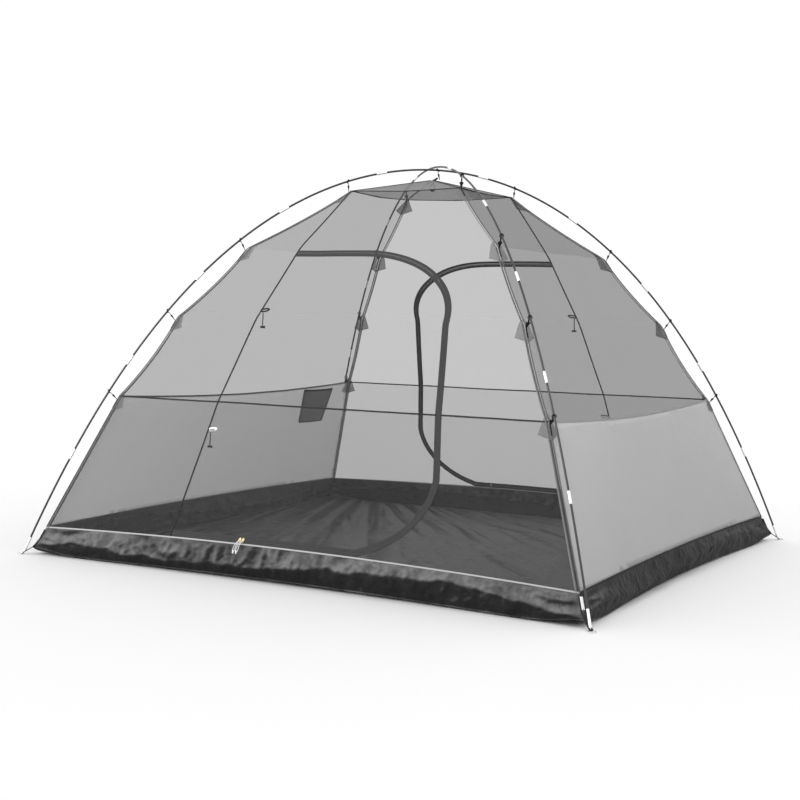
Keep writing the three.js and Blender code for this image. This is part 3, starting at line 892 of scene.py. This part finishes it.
def roof_points(u, v):
    """The roof cap over (u, v) from -1 to 1: a shallow pyramid with slack between its ridges."""
    x, y = u * LEVELS[-1, 1], v * LEVELS[-1, 2]
    out = np.maximum(abs(u), abs(v))
    ridge = 1 - abs(abs(u) - abs(v)) / np.maximum(out, 1e-6)
    slack = 0.012 * np.sin(np.pi * out) * (1 - ridge) + 0.010 * out**3 * (1 - ridge)
    height = (PEAK - EAVE - 0.002) * (1 - out) - slack
    return np.stack([x, y, EAVE + 0.0015 + height], 1)


def roof():
    """The roof cap's cloth, the seam round its eave and the seams up its four ridges."""
    count = 36
    points = roof_points(*share_grid(count, count, -1))
    cap = new_piece("roof_cap_cloth", points, grid_faces(count, count), ROOF_CLOTH, points[:, :2])
    seat(cap, "roof_fabric", "roof_cap")
    round_eave = ((-1, -1), (1, -1), (1, 1), (-1, 1), (-1, -1))
    for k, ((u0, v0), (u1, v1)) in enumerate(zip(round_eave, round_eave[1:])):
        t = np.linspace(0, 1, 30)
        path = roof_points(u0 + (u1 - u0) * t, v0 + (v1 - v0) * t) + (0, 0, 0.001)
        seam = sweep(f"eave_seam_{k + 1}", path, (0, 0, 1), flat_section(0.012, 0.004), SEAM_DARK)
        seat(seam, "roof_fabric")
    for corner, signs in CORNERS.items():
        t = np.linspace(0.03, 1, 24)
        path = roof_points(signs[0] * t, signs[1] * t) + (0, 0, 0.001)
        seam = sweep("roof_ridge_" + corner, path, (0, 0, 1), flat_section(0.009, 0.003), SEAM_MESH)
        seat(seam, "roof_fabric")


# ---- floor tub ----
# Where the long fold of the tub's rim runs: (share across, share of the rim's height).
TUB_FOLD = (
    (-1.0, 0.10),
    (-0.85, 0.52),
    (-0.5, 0.26),
    (-0.1, 0.34),
    (0.2, 0.58),
    (0.6, 0.74),
    (0.85, 0.44),
    (1.0, 0.04),
)
FOLD_DEPTH = 0.022  # how far the cloth stands out at the fold


def tub_fold(wall, share):
    """The long fold's height up the rim, with the small steps that creases give it."""
    flat = np.stack([share * 1.4, 0 * share, 0 * share + wall.seed], 1)
    steps = 0.10 * noise_at(flat, 0.12, wall.seed + 11) + 0.05 * noise_at(flat, 0.04, wall.seed + 12)
    height = np.interp(share, *zip(*TUB_FOLD))
    return np.clip(height + steps * (1 - share**8), 0.03, 0.85)


def tucked_under(wall, share, t):
    """How far each point of the rim is tucked under the long fold, from 0 to 1. Shade is painted into the
    colour there.
    """
    below = (tub_fold(wall, share) - t) / 0.10
    return np.clip(0.5 + below, 0, 1)


def near_corner(away, reach):
    """A share that falls from 1 at a corner to almost nothing at twice its reach, in metres."""
    return np.exp(-((away / reach) ** 2))


def ridges(points, scale, seed):
    """Noise with sharp crests, as creased cloth has."""
    return 1 - 2.4 * abs(noise_at(points, scale, seed))


def tub_rim_points(wall, share, t):
    """The tub's side: share from -1 to 1 across, t from 0 at the ground to 1 at the rim."""
    low_w, low_d = (FLOOR_X, FLOOR_Y) if wall.width == 1 else (FLOOR_Y, FLOOR_X)
    seed = wall.seed + 20
    middle = 1 - share**2
    top_a = share * wall.edge(SILL)
    top_z = wall.sill(top_a)
    top_d = wall.distance(top_a, top_z)
    away = (1 - abs(share)) * low_w
    foot_z = TUB_LIFT * middle + CORNER_LIFT * near_corner(away, CORNER_REACH)
    a = share * low_w + (top_a - share * low_w) * t
    d = low_d - TUB_DRAW * middle + (top_d - low_d + TUB_DRAW * middle) * t
    z = foot_z + (top_z - foot_z) * t
    flat = np.stack([a, t * SILL, np.full(len(t), float(seed))], 1)
    corner = near_corner(away, 0.45)
    drawn = np.stack([a * 0.30, (z - foot_z) / (0.35 + 1 - corner), flat[:, 2]], 1)
    long_folds = ridges(drawn, 0.075, seed)
    stretch = 1 if wall.width == 1 else 0.55
    creases = ridges(flat * (stretch, 0.8, 1), 0.06, seed + 2)
    fine = ridges(flat * (stretch, 1, 1), 0.028, seed + 6)
    wide = noise_at(flat * (1, 0.7, 1), 0.22, seed + 1)
    held = np.sin(np.pi * np.clip(t, 0.0, 1.0)) ** 0.6 * (1 - share**24)
    fold = tub_fold(wall, share)
    bulge = FOLD_DEPTH * np.where(t < fold, t / fold, (1 - t) / (1 - fold)) ** 1.3
    loose = (1 - corner) * 0.009 * creases + corner * 0.011 * long_folds
    out = (0.010 * wide + loose + 0.0024 * fine) * held + bulge * (1 - share**12)
    local = np.stack([a, -(d + np.clip(out, -0.03, 0.034)), np.maximum(z, 0.001)], 1)
    return local @ np.array(wall.turn).T


FAN_AT = (-1.7, 2.3)  # the long folds of the ground sheet all point to here


def floor_heights(x, y, edge):
    """The ground sheet's slack: low swells, and long straight folds that fan out a little."""
    flat = np.stack([x, y, np.zeros(len(x))], 1)
    swell = np.clip(noise_at(flat, 0.45, 31), 0, 1)
    away = np.hypot(x - FAN_AT[0], y - FAN_AT[1])
    turn = np.arctan2(y - FAN_AT[1], x - FAN_AT[0])
    broad = noise_at(np.stack([turn * 11, away * 0.55, 0 * x], 1), 1.0, 35)
    narrow = noise_at(np.stack([turn * 27, away * 1.1, 0 * x], 1), 1.0, 36)
    patchy = np.clip(0.55 + 0.9 * noise_at(flat, 0.6, 38), 0, 1)
    folds = np.clip(1 - 2.2 * abs(broad), 0, 1) + 0.3 * np.clip(1 - 2.4 * abs(narrow), 0, 1)
    folds = folds * patchy
    small = noise_at(flat, 0.06, 37)
    return edge * (0.004 + 0.010 * swell + 0.016 * folds + 0.0010 * small)


# Where painted light comes from, on the ground sheet and on the rim: a fold's side that faces it is painted
# lighter, the other side darker.
FLOOR_LIGHT = np.array((-0.55, -0.65, 0.0))
FOLD_LIGHT = np.array((-0.6, 0.0, 0.5))


def paint_fold_light_and_shade(piece):
    """Paints light and shade into the tub's colour: folds facing up or towards a light lighter, the rim
    under its long fold darker in patches, the ground sheet lighter to the right and darker to the back.
    """
    mesh = piece.data
    normals = np.array([v.vector for v in mesh.vertex_normals], np.float32)
    places = np.array([v.co for v in mesh.vertices], np.float32)
    under = np.array([v.value for v in mesh.attributes["tucked_under"].data], np.float32)
    up = normals * np.where(normals[:, 2:] < 0, -1, 1)
    # painted shading of the ground sheet: lighter where it faces the light and towards the right, darker
    # towards the back
    floor_painted_shading = 0.84 + 0.28 * places[:, 0] - 0.08 * places[:, 1] + 5.0 * (up @ FLOOR_LIGHT)
    outward = np.sign(np.sum(normals[:, :2] * places[:, :2], 1))[:, None] * normals
    flat = places * (1, 1, 0.6)
    # random blotches of lighter and darker
    random_blotches = 0.20 * noise_at(flat, 0.14, 41) + 0.16 * noise_at(flat, 0.035, 42)
    # painted shading of the rim: lighter where it faces up or towards the light, with the random blotches
    rim_painted_shading = 0.37 + random_blotches + 0.5 * outward[:, 2] + 1.3 * (outward @ FOLD_LIGHT - 0.25)
    # painted shade on the rim under its long fold, in patches
    hollow = 0.58 + 0.75 * noise_at(flat, 0.11, 43) + 0.4 * noise_at(flat, 0.04, 44)
    shaded = np.clip(hollow, 0.25, 0.86) * np.clip(under, 0, 1)
    rim_painted_shading = np.clip(rim_painted_shading, 0.06, 1) * (1 - shaded)
    tone = np.where(under < -0.001, floor_painted_shading, rim_painted_shading)
    mark = mesh.attributes.new("fold_tone", "FLOAT", "POINT")
    mark.data.foreach_set("value", np.clip(tone, 0.02, 1.0).astype(np.float32))


def ground_sheet(u, v):
    """The ground sheet over (u, v) from -1 to 1. Its border is the foot of the rim."""
    x = u * (FLOOR_X - TUB_DRAW * (1 - v**2))
    y = v * (FLOOR_Y - TUB_DRAW * (1 - u**2))
    inward = 1 - np.maximum(abs(u), abs(v))
    points = np.stack([x, y, 0.002 + floor_heights(x, y, np.clip(inward / 0.05, 0, 1))], 1)
    away = np.hypot((1 - abs(u)) * FLOOR_X, (1 - abs(v)) * FLOOR_Y)
    near = near_corner(away, CORNER_REACH)
    lift = near * CORNER_LIFT + (1 - near) * TUB_LIFT * (1 - np.minimum(u**2, v**2))
    points[:, 2] += lift * np.exp(-inward / 0.012)
    for wall in WALLS:
        local = np.stack([u, v, 0 * u], 1) @ np.array(wall.turn)
        mine = local[:, 1] < -0.9999
        points[mine] = tub_rim_points(wall, local[mine, 0], np.zeros(mine.sum()))
    return points, np.stack([x, y], 1), inward < 0.0001


def tub():
    """The bathtub floor: the ground sheet and its folded-up rim, as one sewn piece."""
    points, faces, uv, under = [], [], [], []
    across, up = 320, 22
    share, t = share_grid(across, up)
    for wall in WALLS:
        faces += grid_faces(across, up, len(points))
        points.extend(tub_rim_points(wall, share, t))
        under.extend(tucked_under(wall, share, t))
        uv.extend(np.stack([share * FLOOR_X, t * SILL], 1))
    faces += grid_faces(across, across, len(points))
    sheet_points, sheet_uv, border = ground_sheet(*share_grid(across, across, -1))
    points.extend(sheet_points)
    uv.extend(sheet_uv)
    under.extend(np.where(border, 1.0, -1.0))
    piece = new_piece("floor_tub_cloth", points, faces, TUB_CLOTH, uv)
    # marks the rim under its long fold, where shade is painted into the colour
    tucked = piece.data.attributes.new("tucked_under", "FLOAT", "POINT")
    tucked.data.foreach_set("value", np.array(under, np.float32))
    weld = piece.modifiers.new("weld", "WELD")
    weld.merge_threshold = 0.0005
    apply_modifiers(piece)
    paint_fold_light_and_shade(piece)
    thicken(piece)
    seat(piece, "tub_fabric", "floor_tub")


# ---- poles ----
class Arch:
    """A pole's centre line by distance along it, from its left foot."""

    ACROSS = np.linspace(-1, 1, 1601)

    def __init__(self, name):
        self.way = 1 if name == "pole_a" else -1
        across = self.ACROSS
        q = across**2
        a, b, c = ARCH_SHAPE
        z = ARCH_HEIGHTS[name] * (1 - q) * (1 + a * q + b * q**2 + c * q**3)
        self.line = np.stack([across * FOOT[0], across * self.way * FOOT[1], z], 1)
        self.along = lengths_along(self.line)
        self.length = self.along[-1]
        self.level = np.array([self.way * FOOT[1], -FOOT[0], 0]) / np.hypot(*FOOT)

    def at(self, s):
        s = np.asarray(s, float)
        return np.stack([np.interp(s, self.along, self.line[:, k]) for k in range(3)], -1)

    def over(self, across):
        """The distance along at which the arch stands over a share of its half span."""
        return float(np.interp(across, self.ACROSS, self.along))


ARCHES = {name: Arch(name) for name in ("pole_a", "pole_b")}


def arch_of(signs):
    """The arch of the pole that stands at a corner."""
    return ARCHES["pole_a" if signs[0] == signs[1] else "pole_b"]


def turned_solid(name, arch, profile, material, count=16):
    """A round solid along an arch from (distance, radius) pairs."""
    profile = np.array(profile, float)
    path = arch.at(profile[:, 0])
    ahead = units(arch.at(profile[:, 0] + 0.001) - arch.at(profile[:, 0] - 0.001))
    up = np.cross(arch.level, ahead)
    turns = 2 * np.pi * np.arange(count) / count
    rings = (
        path[:, None]
        + profile[:, 1, None, None]
        * (np.cos(turns)[None, :, None] * arch.level + np.sin(turns)[None, :, None] * up[:, None])
    )
    uv = [(s, j / count) for s in profile[:, 0] for j in range(count)]
    faces = tube_faces(len(profile), count, flip=True)
    piece = new_piece(name, rings.reshape(-1, 3), faces, material, uv)
    sharp = piece.data.attributes.new("sharp_edge", "BOOLEAN", "EDGE")
    flags = [is_rim(edge.vertices, profile, count) for edge in piece.data.edges]
    sharp.data.foreach_set("value", flags)
    return piece


def is_rim(vertices, profile, count):
    """Whether an edge runs round a step or an end of a turned solid."""
    i, j = (v // count for v in vertices)
    if i != j:
        return False
    if i in (0, len(profile) - 1):
        return True
    before = profile[i, 1] - profile[i - 1, 1]
    after = profile[i + 1, 1] - profile[i, 1]
    return bool(abs(before - after) > 0.0004)


def rod_profile(start, end):
    steps = np.linspace(start, end, 15)
    chamfer = [(start - 1e-6, ROD_R * 0.8)]
    return chamfer + [(s, ROD_R) for s in steps] + [(end + 1e-6, ROD_R * 0.8)]


def sleeve_profile(start, end, radius):
    """A metal sleeve with rolled ends and a shallow crimp near each."""
    half = [
        (0, ROD_R + 0.0001),
        (0.0002, radius - 0.0003),
        (0.0008, radius),
        (SLEEVE_CRIMP, radius),
        (SLEEVE_CRIMP + 0.001, radius - 0.0005),
        (SLEEVE_CRIMP + 0.002, radius),
    ]
    left = [(start + s, r) for s, r in half]
    right = [(end - s, r) for s, r in half[::-1]]
    return [*left, ((start + end) / 2, radius), *right]


def pole(name):
    """A pole's rods, the bright sleeves over their joints and the tips at its ends."""
    arch = ARCHES[name]
    pitch = arch.length / SECTIONS
    for k in range(SECTIONS):
        start = k * pitch if k else TIP_LIFT + 0.001
        end = (k + 1) * pitch if k < SECTIONS - 1 else arch.length - TIP_LIFT - 0.001
        rod = turned_solid(f"{name}_rod_{k + 1}", arch, rod_profile(start + 2e-4, end - 2e-4), ROD)
        seat(rod, "pole_fibreglass", f"{name}_section_{k + 1}")
        if k < SECTIONS - 1:
            profile = sleeve_profile(end - SLEEVE_HALF, end + SLEEVE_HALF, SLEEVE_R)
            seat(turned_solid(f"{name}_ferrule_{k + 1}", arch, profile, FERRULE))
    for end, start in (("left", TIP_LIFT), ("right", arch.length - TIP_LIFT - TIP_LENGTH)):
        profile = sleeve_profile(start, start + TIP_LENGTH, SLEEVE_R)
        seat(turned_solid(f"{name}_tip_{end}", arch, profile, FERRULE))


# ---- clips ----
CLIP_RING = 0.0090  # middle of the hook's wall from the pole's centre
CLIP_TILT = math.radians(38)  # the hook leans this far up along the pole
CLIP_FUNNEL = (0.0115, 0.0048)  # half sizes of the funnel's mouth, across and through
CLIP_DROP = 0.012  # how far the funnel's tip hangs down along the pole
CLIP_SHORT = 0.003  # from the funnel's tip to the corner seam
FUNNEL_LENGTH = 0.030
STEM_AT = 0.0082  # from the pole's centre to where the funnel's stem leaves the hook
# The stem and the funnel: (share of the funnel's length, share of its mouth's size).
FUNNEL = ((0, 0.34), (0.04, 0.86), (0.12, 1.0), (0.45, 0.62), (0.75, 0.36), (1, 0.30))


def clip(node, arch, s, towards):
    """A moulded clip: a hook open on one side, and a funnel that narrows to the webbing.

    Returns the funnel's tip, where the webbing starts."""
    centre = np.array(arch.at(s))
    along = Vector(arch.at(s + 0.002) - arch.at(s - 0.002)).normalized()
    if along.z < 0:
        along = -along
    away = Vector(centre) - Vector(towards)
    reach = away.length
    away = (away - along * away.dot(along)).normalized()
    across = away.cross(along)
    leaning = away * math.cos(CLIP_TILT) + along * math.sin(CLIP_TILT)
    turns = np.radians(np.linspace(-60, 215, 27))
    radial = np.array([tuple(across * math.cos(t) + leaning * math.sin(t)) for t in turns])
    ends = np.interp(turns, (turns[0], turns[6], turns[-3], turns[-1]), (1.3, 1, 1, 0.6))
    path = centre + radial * CLIP_RING
    hook = sweep(node + "_hook", path, radial, flat_section(0.0065, 0.0034), CLIP_PLASTIC, ends)
    wide, deep = CLIP_FUNNEL
    section = [(wide * x, deep * y) for x, y in round_section(1.0, 20)]
    tip = reach - CLIP_SHORT
    mouth = max(STEM_AT + 0.0023, tip - FUNNEL_LENGTH)
    depths = np.array([STEM_AT, *(mouth + (tip - mouth) * share for share, _ in FUNNEL)])
    drops = CLIP_DROP * (depths - depths[0]) / np.ptp(depths)
    sizes = (0.30, *(size for _, size in FUNNEL))
    path = centre - depths[:, None] * np.array(away) - drops[:, None] * np.array(along)
    funnel = sweep(node + "_funnel", path, along, section, CLIP_PLASTIC, sizes)
    seat(hook, "clip_plastic", node)
    seat(funnel, "clip_plastic")
    return path[-1]


def clips():
    """Every clip with its webbing tab, and the patch that spreads its pull."""
    for corner in ("left_front", "right_back", "left_back", "right_front"):
        signs = CORNERS[corner]
        arch = arch_of(signs)
        for k, (rho, level) in enumerate(zip(CLIP_RHO, (EAVE, SECOND, THIRD, MID))):
            node = f"clip_{corner}_{k + 1}"
            seam = corner_points(signs, [level])[0]
            tip = clip(node, arch, arch.over(signs[0] * rho), seam)
            z = np.linspace(tip[2] - 0.002, tip[2] - 0.042, 5)
            path = np.concatenate([[tip], corner_points(signs, z, 0.0035)])
            outward = (*(DIAGONAL * signs), 0.6)
            tab = sweep(node + "_tab", path, outward, flat_section(0.008, 0.0026), WEBBING)
            seat(tab, "clip_plastic")
            clip_patch(corner, signs, k, level)


def clip_patch(corner, signs, k, level):
    """Two cloth halves folded over the corner seam under a clip."""
    door_side = FRONT if signs[1] < 0 else BACK
    side = RIGHT if signs[0] > 0 else LEFT
    along_side = signs[0] * signs[1]  # which way the corner lies along the side wall
    rise = 0.0 if k == 0 else 0.024
    shape = ((0.001, rise), (0.010, rise), (0.062, -0.056), (0.001, -0.074))
    for wall, way in ((door_side, -along_side), (side, along_side)):
        flat = [(way * (float(wall.edge(level + dz)) - inward), level + dz) for inward, dz in shape]
        parts = [np.array([flat[i], flat[(i + 1) % 4]]) for i in range(4)]
        name = f"clip_patch_{corner}_{k + 1}_{wall.name}"
        patch = face_out(cloth(name, wall, parts, PATCH_CLOTH, 0.012, 0.0022), wall)
        seat(patch, "panel_fabric")


def crown():
    """The hook over the crossing, its strap down to the roof's peak, and the lamp loop inside."""
    arch = ARCHES["pole_a"]
    s = arch.over(CROWN_RHO)
    x, y, _ = arch.at(s)
    clip("crown_hook", arch, s, (x, y, PEAK))
    path = [(x, y, PEAK + 0.012), (x / 2, y / 2, PEAK + 0.003), (0, 0, PEAK - 0.004)]
    seat(sweep("crown_strap", path, arch.level, flat_section(0.010, 0.003), WEBBING))
    t = np.linspace(0, 1, 24)
    hang = PEAK - 0.010 - 0.045 * np.sin(np.pi * t)
    loop = np.stack([0.012 * np.sin(2 * np.pi * t), 0 * t, hang], 1)
    seat(sweep("crown_lamp_loop", loop, (0, 1, 0), flat_section(0.010, 0.0016), WEBBING))


# ---- corners of the tub ----
PEG_RING = 0.014
RING_WIRE = 0.002


def peg_ring(corner, centre):
    """A round ring of wire that lies on the ground, for a peg."""
    around, count = 40, 10
    wire = np.array(round_section(RING_WIRE, count))
    points, faces = [], []
    for i in range(around):
        radial = Vector((math.cos(2 * math.pi * i / around), math.sin(2 * math.pi * i / around), 0))
        n = (i + 1) % around
        for j, (away, up) in enumerate(wire):
            points.append(centre + radial * (PEG_RING + away) + Vector((0, 0, RING_WIRE + 0.0001 + up)))
            m = (j + 1) % count
            faces.append((i * count + j, n * count + j, n * count + m, i * count + m))
    ring = new_piece("peg_ring_" + corner, points, faces, STEEL)
    seat(ring, "pin_steel", "corner_pin_" + corner)


def corner_webbing(corner, signs, foot, out):
    """The strap from the tub's corner to the peg ring, wrapped round the foot of the pole."""
    up = Vector((0, 0, 1))
    tub_corner = Vector((signs[0] * FLOOR_X, signs[1] * FLOOR_Y, CORNER_LIFT))
    over = [tub_corner - out * 0.03 + up * 0.035, tub_corner + out * 0.002, foot - out * 0.001 + up * 0.0075]
    wrap = [foot + out * 0.0035 + up * 0.004, foot + up * 0.001]
    path = np.concatenate([resampled(over, 0.006), np.array(wrap)])
    ups = np.cross(np.gradient(path, axis=0), np.cross(out, up))
    strap = sweep("corner_webbing_" + corner, path, ups, flat_section(0.02, 0.0022), WEBBING)
    seat(strap, "toggle_plastic")


def corner_tapes(corner, signs, out):
    """The tub's corner seam and the short white tape sewn on it."""
    z = np.linspace(SILL - 0.012, 0.045, 10)
    share = (SILL - z) / SILL
    half_x = LEVELS[0, 1] + (FLOOR_X - LEVELS[0, 1]) * share
    half_y = LEVELS[0, 2] + (FLOOR_Y - LEVELS[0, 2]) * share
    line = np.stack([signs[0] * (half_x + 0.003), signs[1] * (half_y + 0.003), z], 1)
    up = Vector((out.x, out.y, 0.3)).normalized()
    tape, seam = flat_section(0.013, 0.0022), flat_section(0.024, 0.003)
    white = sweep("corner_tape_" + corner, line[:7] + out * 0.0035, up, tape, WHITE_TAPE)
    black = sweep("tub_corner_seam_" + corner, line - out * 0.001, up, seam, WEBBING)
    for piece in (white, black):
        seat(piece, "tub_fabric")


def peg_corner(corner, signs):
    """The peg ring, its pin up the pole's tip, and the webbing back to the tub's corner."""
    arch = arch_of(signs)
    foot = Vector((signs[0] * FOOT[0], signs[1] * FOOT[1], 0))
    out = Vector((signs[0] * DIAGONAL[0], signs[1] * DIAGONAL[1], 0))
    peg_ring(corner, foot + out * PEG_RING)
    s = np.array([0.002, 0.012, 0.03, 0.05])
    s = s if signs[0] < 0 else arch.length - s
    pin = sweep("pole_pin_" + corner, arch.at(s), arch.level, round_section(0.0024), STEEL)
    seat(pin, "pin_steel")
    corner_webbing(corner, signs, foot, out)
    corner_tapes(corner, signs, out)


# ---- zip sliders, toggles, pocket ----
def spot(wall, a, z, lift=0.0):
    """A point on a wall, or lift metres out from it, and the way out."""
    return Vector(wall.points([a], [z], lift)[0]), Vector(wall.normals([a], [z])[0]).normalized()


# A slider's body: (share of its outline, height over the zip) of each layer.
SLIDER_LAYERS = ((0.9, -0.0018), (1.0, -0.0008), (1.0, 0.0030), (0.92, 0.0042))
# How its cord pull falls: (down, out) from its bridge.
PULL_FALL = ((0.0, 0.0), (0.010, 0.008), (0.032, 0.022), (0.056, 0.026))
KNOT_R = 0.0042
# The knot at the pull's end: (height, radius).
PULL_KNOT = (
    (0.004, 0.0012),
    (0.002, 0.0034),
    (-0.002, KNOT_R),
    (-0.007, KNOT_R),
    (-0.011, 0.0036),
    (-0.0125, 0.0014),
)


def slider_outline():
    """A slider's outline seen from outside: two lobes, the upper one wider."""
    outline = []
    for t in np.linspace(0, 2 * math.pi, 33)[:-1]:
        lobe = (0.0050 + 0.0012 * math.cos(2 * t)) * 1.05
        wide = 1.25 if math.sin(t) > 0 else 0.85
        outline.append((lobe * math.cos(t) * wide, 0.0125 * math.sin(t)))
    return outline


def slider(node, wall):
    """A zip slider: the two-lobed body, the pull's bridge and a knotted cord pull."""
    low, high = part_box(node)
    x = float((wall.turn.transposed() @ (low + high))[0]) / 2
    base, out = spot(wall, x, float(wall.sill(x)) + ZIP_LIFT)
    across = wall.turn @ Vector((1, 0, 0))
    up = out.cross(across).normalized()
    if up.z < 0:
        up = -up
    outline = slider_outline()
    points = [
        base + across * px * scale + up * py * scale + out * height
        for scale, height in SLIDER_LAYERS
        for px, py in outline
    ]
    faces = tube_faces(len(SLIDER_LAYERS), len(outline), flip=True)
    seat(new_piece(node + "_body", points, faces, BRASS), "slider_brass", node, node)
    t = np.linspace(-1, 1, 15)
    rise = 0.0038 + 0.0048 * np.sqrt(np.maximum(0, 1 - t * t))
    arch = [base + up * (0.0085 * k) + out * r for k, r in zip(t, rise)]
    bridge = sweep(node + "_bridge", arch, across, flat_section(0.004, 0.0018), BRASS)
    seat(bridge, "slider_brass", body=node)
    anchor = base - up * 0.002 + out * 0.0088
    fall = [anchor - up * down + out * forward for down, forward in PULL_FALL]
    for k, way in enumerate((-1, 1)):
        path = [p + across * way * (0.0015 + 0.0016 * i) for i, p in enumerate(fall)]
        section = round_section(0.0015, 10)
        cord = sweep(f"{node}_pull_{k + 1}", resampled(path, 0.004), across, section, CORD_WHITE)
        seat(cord, "slider_brass", body=node)
    path = [fall[-1] + up * height for height, _ in PULL_KNOT]
    sizes = [radius / KNOT_R for _, radius in PULL_KNOT]
    section = round_section(KNOT_R, 14)
    knot = sweep(node + "_pull_end", path, across, section, CORD_WHITE, sizes)
    seat(knot, "slider_brass", body=node)


BAR_R = 0.0058
# Half of a toggle's bar, from its end in to its waist: (distance from the middle, share of BAR_R).
BAR_HALF = ((0.012, 1 / 2), (0.0115, 17 / 18), (0.0105, 1), (0.006, 1), (0.0035, 7 / 9), (0, 2 / 3))


def toggle(node, wall):
    """A toggle on its cord, hanging inside from the hinge seam, and its loop on the seam."""
    low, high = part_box(node)
    top = Vector(((low.x + high.x) / 2, (low.y + high.y) / 2, high.z))
    across = wall.turn @ Vector((1, 0, 0))
    drop = Vector((0, 0, high.z - low.z - 0.0036))
    t = np.linspace(0, 1, 14)
    path = [top - drop * k + across * 0.0012 * math.sin(6 * k) for k in t]
    cord = sweep(node + "_cord", path, across, round_section(0.0026, 10), CORD_DARK)
    seat(cord, "toggle_plastic", node, node)
    bar_shape = [(-away, size) for away, size in BAR_HALF] + list(BAR_HALF[-2::-1])
    bar_path = [top - drop + across * away for away, _ in bar_shape]
    sizes = [size for _, size in bar_shape]
    section = round_section(BAR_R, 16)
    bar = sweep(node + "_bar", bar_path, (0, 0, 1), section, TOGGLE_PLASTIC, sizes)
    seat(bar, "toggle_plastic", body=node)
    seam, out = spot(wall, float(hinge_x(high.z)), high.z, -0.002)
    turn = np.linspace(0, math.pi * 1.94, 30)
    rise = 0.012 + 0.004 * (1 - np.cos(turn)) - 0.006 * np.sin(turn)
    aside = 0.025 * (1 - np.cos(turn))
    loop = [seam - out * 0.003 + across * a + Vector((0, 0, r)) for a, r in zip(aside, rise)]
    tape = WEBBING if node.endswith("upper") else WHITE_TAPE
    elastic = sweep(node + "_seam_loop", loop, -out, flat_section(0.008, 0.003), tape)
    seat(elastic, "mesh_fabric")


POCKET_SIZE = (0.315, 0.200)
POCKET_MIDDLE = -0.745  # from the left wall's middle
POCKET_SKEW = 0.060  # how far the pocket's lower front corner is cut back


def pocket():
    """The mesh pocket inside the left wall: a slack pouch with a bound, slightly open mouth."""
    across, up = POCKET_SIZE
    count_a, count_z = 34, 20
    a, t = share_grid(count_a, count_z)
    z = MID - 0.032 - up * (1 - t)
    belly = 0.012 * (1 - a**2) ** 0.6 * (0.25 + 0.75 * t) + 0.004
    place = POCKET_MIDDLE + a * across / 2 - POCKET_SKEW * (1 - t) * (1 + a) / 2
    points = LEFT.points(place, z) - LEFT.normals(place, z) * belly[:, None]
    uv = np.stack([a * across / 2, z], 1)
    pouch = new_piece("inner_pocket", points, grid_faces(count_a, count_z), POCKET_MESH, uv)
    seat(pouch, "panel_fabric")
    rows = points.reshape(count_z + 1, count_a + 1, 3)
    mouth = LEFT.normals(place[-count_a - 1 :], z[-count_a - 1 :])
    hem = sweep("inner_pocket_hem", rows[-1], mouth, flat_section(0.012, 0.003), SEAM_DARK)
    border = resampled(np.concatenate([rows[::-1, 0], rows[0, 1:-1], rows[:, -1]]), 0.012)
    inward = LEFT.turn @ Vector((0, 1, 0))
    trim = sweep("inner_pocket_binding", border, inward, flat_section(0.008, 0.003), SEAM_DARK)
    for piece in (hem, trim):
        seat(piece, "panel_fabric")


# ---- light, floor and camera ----
def studio():
    """A white surround and floor, and three soft lamps that light the tent but not the floor."""
    world = bpy.data.worlds.new("studio")
    bpy.context.scene.world = world
    world.use_nodes = True
    world.node_tree.nodes["Background"].inputs["Color"].default_value = (1, 1, 1, 1)
    world.node_tree.nodes["Background"].inputs["Strength"].default_value = 1.02
    paper = hard("studio_paper", (1.0, 1.0, 1.0), 0.9, 0.0, 1.5, 0.0)
    reach = 600  # far enough for the floor to meet the sky at the horizon
    corners = [(x * reach, y * reach, -0.001) for x, y in ((-1, -1), (1, -1), (1, 1), (-1, 1))]
    floor = new_piece("studio_floor", corners, [(0, 1, 2, 3)], paper, None, False)
    unlit = bpy.data.collections.new("unlit_by_lamps")
    unlit.objects.link(floor)
    unlit.collection_objects[0].light_linking.link_state = "EXCLUDE"
    lamps = (
        ("key", (-4.0, -7.0, 5.5), 4.0, 620),
        ("fill", (7.0, -3.0, 4.0), 5.0, 30),
        ("side", (-7.5, 1.0, 4.0), 3.5, 5),
    )
    for name, at, size, power in lamps:
        light = bpy.data.lights.new(name, "AREA")
        light.size = size
        light.energy = power
        lamp = bpy.data.objects.new(name, light)
        lamp.location = at
        aim = Vector((0, 0, 0.8)) - Vector(at)
        lamp.rotation_mode = "QUATERNION"
        lamp.rotation_quaternion = aim.to_track_quat("-Z", "Y")
        bpy.context.scene.collection.objects.link(lamp)
        lamp.light_linking.receiver_collection = unlit
    bpy.context.scene.view_settings.view_transform = "Standard"


def camera():
    data = bpy.data.cameras.new("camera")
    data.sensor_width = 36.0
    data.lens = 63.45
    data.shift_x = -0.0139
    data.shift_y = -0.0026
    eye = bpy.data.objects.new("camera", data)
    eye.location = (3.528, -6.476, 1.224)
    yaw, pitch, roll = (math.radians(v) for v in (29.27, -3.44, 1.18))
    look = Matrix.Rotation(yaw, 4, "Z") @ Matrix.Rotation(math.pi / 2 + pitch, 4, "X")
    eye.rotation_euler = (look @ Matrix.Rotation(roll, 4, "Z")).to_euler()
    bpy.context.scene.collection.objects.link(eye)
    bpy.context.scene.camera = eye


camera()
studio()
for wall in (FRONT, BACK):
    door_wall(wall)
    door(wall)
    door_wall_trim(wall)
for wall in (LEFT, RIGHT):
    side_wall(wall)
tub()
roof()
corner_seams()
for pole_name in ARCHES:
    pole(pole_name)
clips()
crown()
for corner, signs in CORNERS.items():
    peg_corner(corner, signs)
slider("front_zip_slider_left", FRONT)
slider("front_zip_slider_right", FRONT)
slider("back_zip_slider", BACK)
for wall in (FRONT, BACK):
    for level in ("upper", "lower"):
        toggle(f"{wall.name}_toggle_{level}", wall)
pocket()
